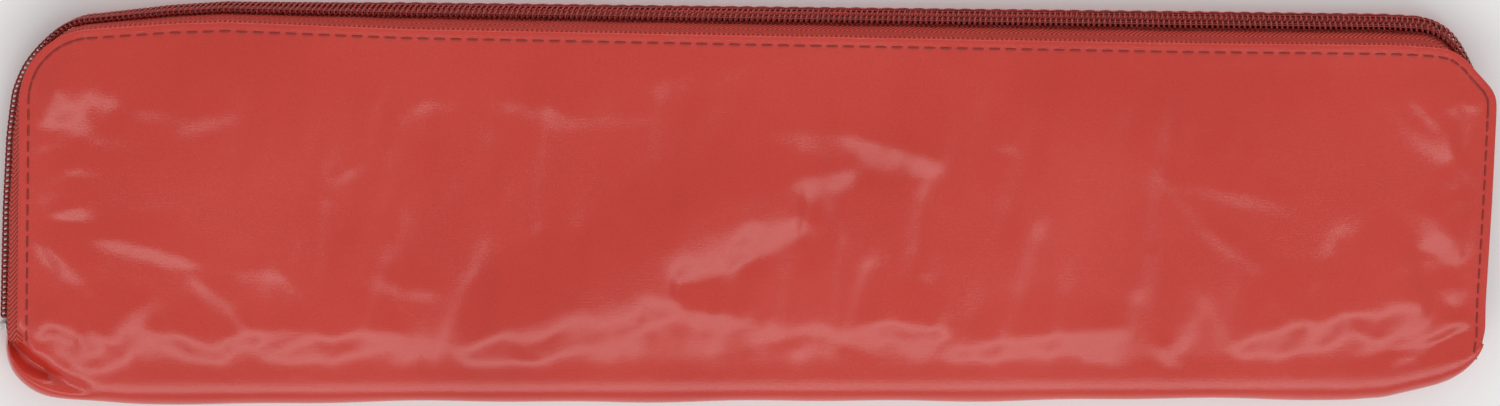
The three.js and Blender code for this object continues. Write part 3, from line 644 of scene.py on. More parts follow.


# %% [markdown]
# ## Folds placed one by one
# The large folds of this pouch are a designer's choice, so they are listed: where a lit face
# lies, which way it runs, how long and wide it is, and how steep. Each one is a low ridge with
# a flat face on its lower side and a longer, gentler back, since a flat face mirrors the softbox
# as one crisp patch, and a round ridge would only give a thin line.

# %% Front cloth: folds
FOLDS = [  # centre x, y, direction in degrees, half length, half width, slope in degrees
    (-196, 31, -38, 11, 4.0, 10), (-190, 35.5, -8, 9, 2.6, 9), (-174, 30.5, -9, 11, 2.4, 9),
    (-156, 27, 14, 8, 2.2, 8), (-196.5, 11, 14, 10, 1.3, 11), (-199, 5.5, 13, 8, 1.2, 11),
    (-191.5, 1.8, 14, 6, 1.4, 11), (-197, -12.5, -42, 12, 2.3, 11), (-173, -9.5, -15, 18, 2.2, 11),
    (-153, -22, -38, 8, 1.3, 11), (-140, -16.5, -4, 8, 1.4, 8), (-130, -20.5, -38, 5, 1.2, 8),
    (-98, -21.5, -10, 8, 1.7, 8), (-98, 30, 30, 6, 1.5, 7), (-90, 32, -3, 7, 1.8, 8),
    (-79, 26, -60, 5, 1.2, 7), (-65, 31, -8, 9, 2.2, 8), (-46, 28, 4, 13, 2.2, 6),
    (-24, 38, 12, 24, 3.2, 5.5), (26, 19.5, -12, 21, 4.8, 10), (3, 4.5, 19, 22, 4.8, 9.5),
    (-18, -12, 19, 28, 6.4, 10.5), (-52, -33, 16, 26, 6.5, 11), (-14, -29.5, -8, 10, 2.4, 9),
    (42, -33.5, -4, 11, 3.2, 10), (55, 42, -10, 6, 3.0, 8), (46, 33, 60, 5, 2.0, 6),
    (186, 27, -50, 11, 4.6, 8.5), (197.5, 7, 0, 4, 1.6, 9), (193.5, -6, -56, 9, 3.6, 10),
    (150, -27, -52, 8, 1.8, 9), (182, -30, 8, 9, 7.0, 11), (158, -35, 14, 18, 5.0, 9),
    (122, 2, -48, 16, 1.6, 6), (138, -12, -35, 14, 1.4, 6), (134, 6, -12, 15, 1.8, 6.5),
    (-200, -32, 40, 6, 3.4, 9), (-178, -36, 60, 12, 5.0, 11), (-160, -38, -20, 10, 3.0, 10),
    (-140, -35, 12, 9, 2.2, 9), (-118, -38, 10, 16, 4.0, 8), (80, -38, 8, 22, 3.4, 7),
]
STEEPER = 1.2
CREASES = [  # valleys: points of a line, width, depth
    ([(-195, -48), (-191.5, -36), (-187.5, -23)], 1.1, 0.75),
    ([(103, 42), (105, 10), (105.5, -36)], 2.4, 0.55),
    ([(-206, 16), (-190, 20), (-176, 19)], 2.4, 0.35),
    ([(-206, -1), (-188, -2), (-165, 2)], 2.0, 0.40),
    ([(-150, -28), (-142, -36), (-139, -43)], 1.4, 0.5),
    ([(-3, -38), (18, -34), (34, -41)], 2.2, 0.5),
    ([(172, -43), (196, -39), (206, -35)], 1.6, 0.6),
    ([(192, -20), (200, -28), (205, -30)], 1.6, 0.5),
]


def line_distance(points, line):
    """Distance of points from a bent line, and how far along it they are, from 0 to 1."""
    line = np.array(line, float)
    best, where = np.full(len(points), 1e9), np.zeros(len(points))
    for k, (a, b) in enumerate(zip(line, line[1:])):
        share = np.clip(((points - a) @ (b - a)) / ((b - a) @ (b - a)), 0, 1)
        gap = np.linalg.norm(points - a - share[:, None] * (b - a), axis=1)
        where = np.where(gap < best, (k + share) / (len(line) - 1), where)
        best = np.minimum(gap, best)
    return best, where


def folds_at(points):
    """Height that the listed folds add at points of the front."""
    added = np.zeros(len(points))
    for x, y, degrees, length, width, slope in FOLDS:
        turn = math.radians(degrees)
        along = (points[:, 0] - x) * math.cos(turn) + (points[:, 1] - y) * math.sin(turn)
        across = -(points[:, 0] - x) * math.sin(turn) + (points[:, 1] - y) * math.cos(turn)
        taper = np.sqrt(np.clip(1 - (along / (1.25 * length)) ** 2, 0, 1))
        reach = width * taper + 1e-6
        face = (across + reach) / (2 * reach)
        rear = 1 - (across - reach) / (3.2 * reach + 1.5)
        profile = np.clip(np.minimum(face, rear), 0, 1)
        profile = np.where(taper > 0.02, profile, 0)
        added += 2 * reach * math.tan(math.radians(STEEPER * slope)) * profile
    for line, width, depth in CREASES:
        gap, where = line_distance(points[:, :2], line)
        added -= depth * np.exp(-((gap / width) ** 2)) * np.sin(np.pi * np.clip(0.12 + 0.76 * where, 0, 1))
    return added


# %% [markdown]
# ## The strip round the bottom and the hem
# Both strips start from the outline's own points, so there is no seam between them and the
# front. The bottom strip is half a round, fuller in the middle than at the two ends of the zip,
# where the cloth is held. The hem goes over the edge and comes back underneath.

# %% Front cloth: strips
def bottom_rings():
    """Rows of points from the front's lower edge round to the back."""
    share = np.linspace(0, 1, FOLD_STEPS + 1)[1:]
    rows = []
    bulge = FOLD_BULGE_SIDE + (FOLD_BULGE - FOLD_BULGE_SIDE) * low_line[:, 3] ** 2
    top, low = EDGE_TOP + 0.1, SHELL / 2
    shift = low_back[:, :2] - low_line[:, :2]
    for part in share:
        angle = math.pi * part
        out = 0.5 + bulge * math.sin(angle) ** 0.85
        lean = (1 - math.cos(angle)) / 2
        ring = low_line[:, :2] + shift * lean + low_line[:, 2:4] * out[:, None]
        height = np.full(len(ring), (top + low) / 2 + (top - low) / 2 * math.cos(angle))
        rows.append(np.column_stack([ring, height]))
    return rows


def hem_rings():
    return [
        np.column_stack([hem_line[:, :2] + hem_out[:, :2] * out, np.full(zip_count, EDGE_TOP + down)])
        for out, down in HEM_ROLL
    ]


def strip(points, faces, start_ids, rows, flip):
    """Adds rows of new points after the given ones, joined by quads."""
    last = list(start_ids)
    for row in rows:
        new = [len(points) + k for k in range(len(row))]
        points.extend(row)
        for k in range(len(last) - 1):
            quad = (last[k], last[k + 1], new[k + 1], new[k])
            faces.append(quad[::-1] if flip else quad)
        last = new
    return last


def cloth_points():
    height = front_height(flat_points)
    points = list(np.column_stack([flat_points, height]))
    faces = [tuple(f) for f in flat_faces]
    zip_ids = list(range(zip_count))
    low_ids = [zip_count - 1, *range(zip_count, edge_count), 0]
    strip(points, faces, zip_ids, hem_rings(), False)
    strip(points, faces, low_ids, bottom_rings(), False)
    return np.array(points), faces


rest_points, cloth_faces = cloth_points()
front_count = len(flat_points)

# %% [markdown]
# ## Letting the cloth crumple
# A sheet that is held at its seams and is a little too large for them crumples by itself, with
# short folds that start at the stitches. A cloth simulation finds them: the seams and the lower
# edge are pinned, the cloth is let grow by a small share, and a light pressure from inside keeps
# it off the blanket. It runs on an enlarged copy, because the solver is tuned for things the
# size of a shirt. Only the height it finds is kept, and no point may move far.

# %% Front cloth: simulation
ENLARGE = 12
SIM_FRAMES = 22
GROW = 0.035
SIM_CAP = 0.45
SIM_BLUR = 9.0
SIM_PRESSURE = 0.9


def crumpled(points, faces):
    """How far each point moves when the loose cloth is simulated, in millimetres."""
    copy = new_piece("crumple", points * ENLARGE, faces)
    held = edge_distance(points)
    pin = 1 - smoothstep(STITCH_INSET - 0.4, STITCH_INSET + 3.0, held)
    pin[front_count:] = 1
    pin[:front_count] = np.maximum(pin[:front_count], 1 - smoothstep(-48.5, -44, points[:front_count, 1]))
    group = copy.vertex_groups.new(name="held")
    for k, weight in enumerate(pin):
        if weight > 0:
            group.add([k], float(weight), "REPLACE")
    cloth = copy.modifiers.new("Cloth", "CLOTH")
    settings = cloth.settings
    settings.quality = 6
    settings.mass = 0.25
    settings.tension_stiffness = settings.compression_stiffness = 25
    settings.shear_stiffness = 12
    settings.bending_stiffness = 0.35
    settings.vertex_group_mass = "held"
    settings.shrink_min = -GROW
    settings.use_pressure = True
    settings.uniform_pressure_force = SIM_PRESSURE
    settings.effector_weights.gravity = 0
    cloth.collision_settings.use_collision = False
    cloth.point_cache.frame_start, cloth.point_cache.frame_end = 1, SIM_FRAMES
    scene = bpy.context.scene
    for frame_number in range(1, SIM_FRAMES + 1):
        scene.frame_set(frame_number)
    seen = copy.evaluated_get(bpy.context.evaluated_depsgraph_get()).data
    found = np.empty(len(points) * 3)
    seen.vertices.foreach_get("co", found)
    moved = found.reshape(-1, 3) / MM / ENLARGE - points
    scene.frame_set(1)
    bpy.data.objects.remove(copy)
    return np.nan_to_num(moved)


moves = np.zeros_like(rest_points)
moves = crumpled(rest_points, cloth_faces)
print("crumpled: rise from", moves[:, 2].min().round(2), "to", moves[:, 2].max().round(2), "mm")


def without_swell(points, rise):
    """The fine crumple alone: the rise less its own average over a neighbourhood."""
    weights = [
        np.exp(-((chunk[:, None] - points[None]) ** 2).sum(-1) / (2 * SIM_BLUR**2))
        for chunk in np.array_split(points, 16)
    ]
    average = np.concatenate([(w @ rise) / w.sum(1) for w in weights])
    return rise - average


rise = np.zeros(len(rest_points))
rise[:front_count] = without_swell(rest_points[:front_count, :2], moves[:front_count, 2])
rise = SIM_CAP * np.tanh(rise / SIM_CAP)

# %% [markdown]
# ## Finishing the cloth
# The simulated crumple and the listed folds are added to the plain height, both fading out at
# the seams. The lower left corner gets the deep tuck where the zip's end is sewn in. One round
# of subdivision smooths the cells away, and Solidify gives the sheet its thickness with the dull
# finish inside.

# %% Front cloth: finished piece
TOP_LIMIT = panel_high[2] + 0.05
TUCK = [(-210, -33), (-206.5, -40), (-202, -45.5), (-194, -50.5), (-186, -53)]
TUCK_DEPTHS = [8.0, 5.0]  # at its left end, and past the blanket's corner
SWELL_PHASE = 4


def soft_limit(value, limit, room=1.2):
    """Values near a limit are eased under it."""
    over = value - (limit - room)
    return np.where(over > 0, limit - room * np.exp(-np.clip(over, 0, None) / room), value)


def finished_cloth():
    points = rest_points.copy()
    held = edge_distance(points)
    free = smoothstep(STITCH_INSET + 0.3, STITCH_INSET + 5, held) * smoothstep(-47.5, -41, points[:, 1])
    add = free * (rise + folds_at(points))
    points[:front_count, 2] += add[:front_count]
    points[:front_count, 2] = soft_limit(points[:front_count, 2], TOP_LIMIT)
    gap, where = line_distance(points[:, :2], TUCK)
    tuck = np.exp(-((gap / 1.9) ** 2)) * np.sin(math.pi * np.clip(0.25 + 0.75 * where, 0, 1)) ** 0.7
    depth = np.interp(points[:, 0], [-201, -195], TUCK_DEPTHS)
    points[:, 2] -= depth * tuck * smoothstep(8, 15, points[:, 2])
    x, z = points[:, 0], points[:, 2]
    low = points[:, 1] < -48
    swell = 0.55 * np.sin(x / 17 + 0.7) + 0.4 * np.sin(x / 7.3 + 2) + 0.3 * np.sin(x / 31 + SWELL_PHASE)
    belly = np.sin(np.clip(z / EDGE_TOP, 0, 1) * math.pi)
    points[:, 1] += np.where(low, 0.55 * swell * belly, 0)
    return settled(points, cloth=True)


front_cloth = new_piece("front_cloth", finished_cloth(), cloth_faces, COATED, INSIDE)
mesh = bmesh.new()
mesh.from_mesh(front_cloth.data)
bmesh.ops.join_triangles(mesh, faces=mesh.faces[:], angle_face_threshold=0.9, angle_shape_threshold=0.9)
mesh.to_mesh(front_cloth.data)
mesh.free()
add_modifier(front_cloth, "SUBSURF", levels=1, render_levels=1)
add_modifier(front_cloth, "SOLIDIFY", thickness=SHELL * MM, offset=-1, material_offset=1)
baked(front_cloth)
print("front cloth:", len(front_cloth.data.polygons), "faces")
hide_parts("front_panel", "bottom_fold")
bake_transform(front_cloth)

# %% [markdown]
# ## The back
# The back is the same cloth, lying on the floor. Its edge is turned up outside the zip tape and
# sewn to it, which makes the narrow lip that shows below the chain. It is made from rings: they
# follow the pouch's outline, step over the lip and down to the flat, and close in the middle.

# %% Back cloth
LIP_OUT = TAPE / 2 + GAP + CLOTH / 2
BACK_TOP, BACK_UNDER = 0.34, 0.03
LIP_UP = [(-0.20, 0.45), (-0.16, 1.3), (-0.05, 1.85), (0.12, 2.0)]  # distance out, height
LIP_DOWN = [(0.28, 1.88), (0.34, 1.3), (0.33, 0.5), (0.22, 0.14), (-0.1, BACK_UNDER)]
INWARD = [(0.2, -2.5), (0.5, -2.5), (0.8, -2.5), (0.95, -2.5), (1, -2.5)]  # share of the ring, out


def back_ring(out, z, share=1.0):
    """One ring of the back: along the zip's foot and along the straight bottom."""
    line, away = zip_line(zip_steps, TAPE_FOOT)
    line = line + away * (LIP_OUT + out)
    low = low_back[1:-1]
    bottom = np.column_stack([low[:, :2] + low[:, 2:4] * (0.45 + min(out, 0)), np.zeros(len(low))])
    ring = np.concatenate([line, bottom])
    middle = np.array([0, (back_low[1] + back_high[1]) / 2, 0])
    ring = middle + (ring - middle) * share
    ring = np.concatenate([settled(ring[:zip_count], cloth=True, wall=True),
                           settled(ring[zip_count:], cloth=True)])
    ring[:, 2] = z
    ring[zip_count:, 2] = min(z, BACK_TOP)
    return ring


def back_cloth_points():
    rings = [back_ring(out, BACK_TOP, share) for share, out in INWARD]
    rings += [back_ring(out, z) for out, z in LIP_UP]
    inside_rings = len(rings)
    rings += [back_ring(out, z) for out, z in LIP_DOWN]
    rings += [back_ring(out, BACK_UNDER, share) for share, out in INWARD[::-1]]
    count = len(rings[0])
    middle = rings[0].mean(0)
    points = np.concatenate([*rings, [[*middle[:2], BACK_TOP]], [[*middle[:2], BACK_UNDER]]])
    faces = grid_faces(len(rings), count, closed=True)
    last = (len(rings) - 1) * count
    faces += [((k + 1) % count, k, len(points) - 2) for k in range(count)]
    faces += [(last + k, last + (k + 1) % count, len(points) - 1) for k in range(count)]
    return points, faces, inside_rings * count


back_points, back_faces, inner_points = back_cloth_points()
back_cloth = new_piece("back_cloth", back_points, back_faces, COATED, INSIDE)
fan_point = len(back_points) - 2  # the middle of the upper side
for polygon in back_cloth.data.polygons:
    inner = max(polygon.vertices) < inner_points or fan_point in polygon.vertices
    polygon.material_index = int(inner)
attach(back_cloth, "base")
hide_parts("back_panel")
print("back cloth:", len(back_faces), "faces")

# %% [markdown]
# ## The zip's two tapes
# A zip tape is a narrow woven band. It could be cut from the wall of the pouch, but then its
# herringbone would not run along it. Here it is a ribbon of rows that follow the zip's line at
# several heights. Each row stores how far along and across the tape it is, in the tape's UV map.
# The front tape starts under the hem and hangs down to the chain; the back tape climbs from the
# lip to the chain.

# %% Tapes
TAPE_SPLIT = 2.2
TAPE_STEPS = np.linspace(0, ZIP_LENGTH, 420)
FRONT_TAPE = [(-6.0, TAPE_TOP), (-3.0, TAPE_TOP), (-0.6, TAPE_TOP), (None, TAPE_TOP - 0.5), (None, 12.8),
              (None, CHAIN_TOP), (None, 9.6), (None, CHAIN_Z + TAPE_SPLIT / 2)]
BACK_TAPE = [(None, CHAIN_Z - TAPE_SPLIT / 2), (None, 4.4), (None, 3.4), (None, 2.2), (None, TAPE_FOOT)]
TAPE_RIPPLE = 0.10


def tape_rows(plan):
    """Rows of points of a tape; a row with a distance lies flat, one without stands in the wall."""
    rows = []
    for out, z in plan:
        line, away = zip_line(TAPE_STEPS, z)
        ripple = TAPE_RIPPLE * np.sin(TAPE_STEPS / 4.1 + z) * np.sin(TAPE_STEPS / 23.0)
        rows.append(line + away * ((out or 0) + ripple)[:, None])
    return rows


def ribbon(name, rows, finish, thickness):
    count = len(rows[0])
    widths = [np.linalg.norm(b - a, axis=1).mean() for a, b in zip(rows, rows[1:])]
    across = np.concatenate([[0], np.cumsum(widths)])
    points = np.concatenate([settled(row) for row in rows])
    piece = new_piece(name, points, [f[::-1] for f in grid_faces(len(rows), count)], finish)
    weave = piece.data.uv_layers.new(name="weave")
    place = [(TAPE_STEPS[v % count], across[v // count]) for v in range(len(points))]
    for loop in piece.data.loops:
        weave.data[loop.index].uv = place[loop.vertex_index]
    add_modifier(piece, "SOLIDIFY", thickness=thickness * MM, offset=0)
    return baked(piece)


front_tape = ribbon("front_tape", tape_rows(FRONT_TAPE), TAPE_FINISH, TAPE)
back_tape = ribbon("back_tape", tape_rows(BACK_TAPE), TAPE_FINISH, TAPE)
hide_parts("front_zip_tape")
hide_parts("back_zip_tape")
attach(back_tape, "base")


def blend_zip(piece):
    """Bakes a piece's placement into its mesh."""
    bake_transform(piece)


blend_zip(front_tape)
print("tapes:", len(front_tape.data.polygons) + len(back_tape.data.polygons), "faces")

# %% [markdown]
# ## Rows of small things with Geometry Nodes
# The chain has hundreds of equal loops, and the seams hundreds of equal stitches. Modelling one
# and placing it along a line is a job for Geometry Nodes: a mesh of bare points carries where
# each one goes and how it is turned, the tree makes one loop or stitch from named sizes, and
# Instance on Points puts it on each point. The instances are made real at the end, because an
# export drops them. An array modifier would be shorter, but it cannot turn with the zip's line.

# %% Node trees
SIZES = {"Length": 0.0, "Depth": 0.0, "Thickness": 0.0}


def row_tree(name, build):
    """A tree that puts one small shape, made by build, on each point of a mesh."""
    tree = bpy.data.node_groups.new(name, "GeometryNodeTree")
    tree.interface.new_socket("Points", in_out="INPUT", socket_type="NodeSocketGeometry")
    for label in SIZES:
        tree.interface.new_socket(label, in_out="INPUT", socket_type="NodeSocketFloat")
    tree.interface.new_socket("Finish", in_out="INPUT", socket_type="NodeSocketMaterial")
    tree.interface.new_socket("Row", in_out="OUTPUT", socket_type="NodeSocketGeometry")

    def node(kind, **inputs):
        made = tree.nodes.new(kind)
        for key, value in inputs.items():
            if hasattr(made, key) and key not in made.inputs:
                setattr(made, key, value)
                continue
            numbered = key[0] == "i" and key[1:].isdigit()
            socket = made.inputs[int(key[1:]) if numbered else key.replace("_", " ")]
            if isinstance(value, bpy.types.NodeSocket):
                tree.links.new(value, socket)
            else:
                socket.default_value = value
        return made

    given = node("NodeGroupInput").outputs
    shape = build(node, given)
    turn = node("GeometryNodeInputNamedAttribute", data_type="FLOAT_VECTOR", Name="turn").outputs["Attribute"]
    rotation = node("FunctionNodeEulerToRotation", i0=turn).outputs[0]
    placed = node("GeometryNodeInstanceOnPoints", Points=given["Points"], Instance=shape, Rotation=rotation)
    real = node("GeometryNodeRealizeInstances", Geometry=placed.outputs[0])
    smooth = node("GeometryNodeSetShadeSmooth", Geometry=real.outputs[0])
    done = node("GeometryNodeSetMaterial", Geometry=smooth.outputs[0], Material=given["Finish"])
    tree.links.new(done.outputs[0], node("NodeGroupOutput").inputs["Row"])
    return tree


def half_of(node, value):
    return node("ShaderNodeMath", operation="MULTIPLY", i0=value, i1=0.5).outputs[0]


def coil_loop(node, given):
    """One loop of the coil: a ring of wire, longer across the chain than it is deep."""
    ring = node("GeometryNodeCurvePrimitiveCircle", Resolution=10, Radius=1.0).outputs["Curve"]
    length, depth = half_of(node, given["Length"]), half_of(node, given["Depth"])
    scale = node("ShaderNodeCombineXYZ", X=length, Y=depth, Z=1.0)
    squashed = node("GeometryNodeTransform", Geometry=ring, Scale=scale.outputs[0]).outputs[0]
    wire = node("GeometryNodeCurvePrimitiveCircle", Resolution=5, Radius=half_of(node, given["Thickness"]))
    return node("GeometryNodeCurveToMesh", Curve=squashed, Profile_Curve=wire.outputs["Curve"]).outputs[0]


def stitch(node, given):
    """One stitch: a short thread that dives into the cloth at both ends."""
    length, depth = half_of(node, given["Length"]), given["Depth"]
    back_end = node("ShaderNodeMath", operation="MULTIPLY", i0=length, i1=-1.0).outputs[0]
    down = node("ShaderNodeMath", operation="MULTIPLY", i0=depth, i1=-1.0).outputs[0]
    start = node("ShaderNodeCombineXYZ", X=back_end, Z=down).outputs[0]
    middle = node("ShaderNodeCombineXYZ", Z=depth).outputs[0]
    end = node("ShaderNodeCombineXYZ", X=length, Z=down).outputs[0]
    arch = node("GeometryNodeCurveQuadraticBezier", Resolution=5, Start=start, Middle=middle,
                End=end).outputs[0]
    round_wire = node("GeometryNodeCurvePrimitiveCircle", Resolution=6,
                      Radius=half_of(node, given["Thickness"]))
    return node("GeometryNodeCurveToMesh", Curve=arch, Profile_Curve=round_wire.outputs["Curve"],
                Fill_Caps=True).outputs[0]


COIL_TREE, STITCH_TREE = row_tree("coil_row", coil_loop), row_tree("stitch_row", stitch)


def row_of(name, tree, points, firsts, thirds, finish, **sizes):
    """A row of shapes: firsts and thirds are each shape's own X and Z directions."""
    piece = new_piece(name, points, [])
    firsts = firsts / np.linalg.norm(firsts, axis=1)[:, None]
    seconds = np.cross(thirds, firsts)
    seconds /= np.linalg.norm(seconds, axis=1)[:, None]
    thirds = np.cross(firsts, seconds)
    turns = [Matrix(np.array(axes).T.tolist()).to_euler()[:] for axes in zip(firsts, seconds, thirds)]
    turn = piece.data.attributes.new("turn", "FLOAT_VECTOR", "POINT")
    turn.data.foreach_set("vector", np.array(turns, np.float32).ravel())
    modifier = piece.modifiers.new("row", "NODES")
    modifier.node_group = tree
    keys = {item.name: item.identifier for item in tree.interface.items_tree if item.in_out == "INPUT"}
    for label, value in sizes.items():
        modifier[keys[label.title()]] = value * MM
    modifier[keys["Finish"]] = finish
    baked(piece)
    print(name, "-", len(points), "shapes,", len(piece.data.polygons), "faces")
    return piece


# %% [markdown]
# ## The chain
# A coil chain is two springs of nylon wire that mesh, each sewn to its tape by a line of thread
# over every loop. Each loop is a ring turned a little, as in a real spring. The two halves are
# set half a step apart so that they mesh. Beside the slider's post the halves step apart.

# %% Chain
COIL_PITCH = 1.53
COIL_WIDTH, COIL_DEPTH, WIRE = 3.0, 2.2, 0.7
COIL_OUT = TAPE / 2 + GAP + COIL_DEPTH / 2
HELIX = 0.28  # turn of each loop
SPREAD = 1.0
SEAM_OFFSETS = (0.35, 1.15)  # of the two seams from the chain's middle
slider_low = corners("slider_body")[0]
POST_TOP = slider_low[1] + 4.4
stop_top = corners("bottom_stop")[1][1]
COIL_FROM = stop_top + GAP - LEFT_END
COIL_TO = ZIP_LENGTH - (corners("back_top_stop")[1][1] + GAP - RIGHT_END)


def chain_frame(along, up, out):
    """Points beside the chain's middle, with the directions up the wall and out of it."""
    low, _ = zip_line(along, CHAIN_Z - 3)
    high, away = zip_line(along, CHAIN_Z + 3)
    low, high = settled(low), settled(high)
    climb = (high - low) / np.linalg.norm(high - low, axis=1)[:, None]
    step = settled(zip_line(along + 0.5, CHAIN_Z)[0]) - settled(zip_line(along - 0.5, CHAIN_Z)[0])
    run = step / np.linalg.norm(step, axis=1)[:, None]
    outward = np.cross(run, climb)
    outward *= np.sign((outward * away).sum(1))[:, None]
    middle = settled(zip_line(along, CHAIN_Z)[0])
    return middle + climb * np.reshape(up, (-1, 1)) + outward * np.reshape(out, (-1, 1)), climb, outward, run


def chain_rows(side):
    """Places of the loops of one half of the chain."""
    along = np.arange(COIL_FROM + 0.6, COIL_TO - 0.4, COIL_PITCH) + (COIL_PITCH / 2 if side > 0 else 0)
    near_post = smoothstep(POST_TOP + 2.2, POST_TOP, RIGHT_END + ZIP_LENGTH - along) * (along > STARTS[4])
    up = side * (0.02 + COIL_WIDTH / 2 + SPREAD * near_post)
    return along, up


def chain_half(name, side):
    along, up = chain_rows(side)
    centres, climb, outward, run = chain_frame(along, up, COIL_OUT)
    turned = run * math.cos(HELIX) + outward * math.sin(HELIX) * side
    loops = row_of(name, COIL_TREE, centres, climb, turned, COIL_FINISH, length=COIL_WIDTH - WIRE + 0.25,
                   depth=COIL_DEPTH - WIRE, thickness=WIRE)
    seams = []
    for offset in SEAM_OFFSETS:
        spots, _, outward, run = chain_frame(along + COIL_PITCH / 2, up + side * offset,
                                             COIL_OUT + COIL_DEPTH / 2 - 0.2)
        seams.append(row_of(name + "_seam", STITCH_TREE, spots, run, outward, THREAD_FINISH,
                            length=COIL_PITCH * 0.98, depth=0.16, thickness=0.34))
    return joined(name, [loops, *seams])


def joined(name, pieces):
    """Joins pieces into the first one and keeps their finishes."""
    mesh = bmesh.new()
    materials = []
    for piece in pieces:
        start = len(mesh.faces)
        mesh.from_mesh(piece.data)
        mesh.faces.ensure_lookup_table()
        for face in mesh.faces[start:]:
            material = piece.data.materials[face.material_index]
            if material not in materials:
                materials.append(material)
            face.material_index = materials.index(material)
    made = bpy.data.meshes.new(name)
    mesh.to_mesh(made)
    mesh.free()
    for material in materials:
        made.materials.append(material)
    for piece in pieces[1:]:
        bpy.data.objects.remove(piece)
    pieces[0].data = made
    pieces[0].name = name
    return pieces[0]


front_coil, back_coil = chain_half("front_coil", 1), chain_half("back_coil", -1)
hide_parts("front_zip_coil")
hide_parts("back_zip_coil")
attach(back_coil, "base")
blend_zip(front_coil)

# %% [markdown]
# ## Topstitching
# A line of lockstitches holds the hem, and another holds the back's lip. Each stitch is a short
# thread that dives into the cloth at both ends, with a small gap before the next one. They lie
# on the finished front, so their heights are read from the front's own shape.

# %% Topstitch
STITCH_PITCH, STITCH_LENGTH, THREAD = 4.47, 3.0, 0.55
UP = np.array([0.0, 0.0, 1.0])


def surface_height(piece, spots):
    """Height of a piece's upper surface at points seen from above."""
    found = []
    for x, y, z in spots:
        hit, place, _, _ = piece.ray_cast(Vector((x, y, 40)) * MM, Vector((0, 0, -1)))
        found.append(place.z / MM if hit else z)
    return np.array(found)


def hem_stitches():
    along = np.arange(2.5, ZIP_LENGTH - 1.5, STITCH_PITCH)
    line, away = zip_line(along, EDGE_TOP)
    ahead, ahead_away = zip_line(along + 0.5, EDGE_TOP)
    spots = settled(line - away * STITCH_INSET)
    ends = settled(ahead - ahead_away * STITCH_INSET)
    spots[:, 2] = surface_height(front_cloth, spots) + 0.12
    run = ends - spots
    run[:, 2] = 0
    return row_of("front_seam", STITCH_TREE, spots, run, np.tile(UP, (len(spots), 1)), THREAD_FINISH,
                  length=STITCH_LENGTH, depth=0.16, thickness=THREAD)


def lip_stitches():
    along = np.arange(3.0, ZIP_LENGTH - 1.5, STITCH_PITCH)
    line, away = zip_line(along, TAPE_FOOT)
    step = zip_line(along + 0.5, TAPE_FOOT)[0] - line
    spots = settled(line + away * (LIP_OUT + 0.36))
    spots[:, 2] = 1.15
    return row_of("back_seam", STITCH_TREE, spots, step, away, THREAD_FINISH, length=STITCH_LENGTH,
                  depth=0.14, thickness=THREAD)


front_seam, back_seam = hem_stitches(), lip_stitches()
for seam, node, body in ((front_seam, "front_topstitch", "cover"), (back_seam, "back_topstitch", "base")):
    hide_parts(node)
    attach(seam, body)

# %% [markdown]
# ## Slider, pull and stops
# The slider is a small cast part whose edges are all rounded. Its solids already have the right
# shape, so each is copied, its loose triangles are welded, and a bevel rounds every sharp edge.
# Sculpting new ones would bring nothing, because the bevel is what catches the light.

# %% Metal parts
def rounded_copy(node, name, finish, radius, segments=3, bodies="base"):
    piece = bpy.data.objects.new(name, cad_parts[node].data.copy())
    bpy.context.scene.collection.objects.link(piece)
    piece.data.materials.clear()
    piece.data.materials.append(finish)
    mesh = bmesh.new()
    mesh.from_mesh(piece.data)
    bmesh.ops.remove_doubles(mesh, verts=mesh.verts[:], dist=1e-6)
    bmesh.ops.dissolve_limit(mesh, angle_limit=math.radians(2), verts=mesh.verts[:], edges=mesh.edges[:])
    mesh.to_mesh(piece.data)
    mesh.free()
    piece.data.shade_smooth()
    add_modifier(piece, "BEVEL", width=radius * MM, segments=segments, limit_method="ANGLE",
                 angle_limit=math.radians(35), use_clamp_overlap=True, harden_normals=False)
    add_modifier(piece, "WEIGHTED_NORMAL", keep_sharp=False)
    baked(piece)
    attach(piece, bodies)
    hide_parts(node)
    return piece


METAL = [
    ("slider_body", "slider_shell", PAINTED, 0.16, "slider", "slider_metal"),
    ("slider_bridge", "slider_loop", PAINTED, 0.18, "slider", "slider_metal"),
    ("pull_tab", "pull", PAINTED, 0.26, "pull", "slider_metal"),
    ("bottom_stop", "lower_stop", BARE, 0.35, "base", "stop_metal"),
    ("front_top_stop", "front_stop", BARE, 0.35, "cover", "stop_metal"),
    ("back_top_stop", "back_stop", BARE, 0.35, "base", "stop_metal"),
]
for node, name, finish, radius, body, slot in METAL:
    metal = rounded_copy(node, name, finish, radius, bodies=body)
    if finish is BARE:  # the stops are clamped to the tapes and settle with them
        centre = np.mean(corners(node), axis=0)
        metal.data.transform(Matrix.Translation(Vector(settled([centre])[0] - centre) * MM))
print("metal parts:", [row[1] for row in METAL])

# %% [markdown]
# ## Cloth tabs inside
# Where the tapes end, a small tab of the pouch's cloth covers their cut ends. Each is a welded
# copy of its solid with soft edges, cut into cells and pillowed between its two seams, so
# that it reads as folded cloth and not as a plate.

# %% End tabs
TAB_PUFF = 0.16
TAB_IN = 0.9


def cloth_tab(node, name):
    piece = rounded_copy(node, name, COATED, 0.2, 2)
    mesh = bmesh.new()
    mesh.from_mesh(piece.data)
    long_edges = [e for e in mesh.edges if e.calc_length() > 1.5 * MM]
    bmesh.ops.subdivide_edges(mesh, edges=long_edges, cuts=5, use_grid_fill=True)
    low, high = corners(node)
    side = -1 if low[0] < 0 else 1
    for vertex in mesh.verts:
        share = (vertex.co.y / MM - low[1]) / (high[1] - low[1])
        rise = (vertex.co.z / MM - low[2]) / (high[2] - low[2])
        puff = math.sin(math.pi * min(max(share, 0), 1)) * math.sin(math.pi * min(max(rise, 0), 1))
        vertex.co.x -= side * (TAB_IN + TAB_PUFF * puff) * MM
    mesh.to_mesh(piece.data)
    mesh.free()
    return piece


cloth_tab("left_end_tab", "left_tab")
cloth_tab("right_end_tab", "right_tab")

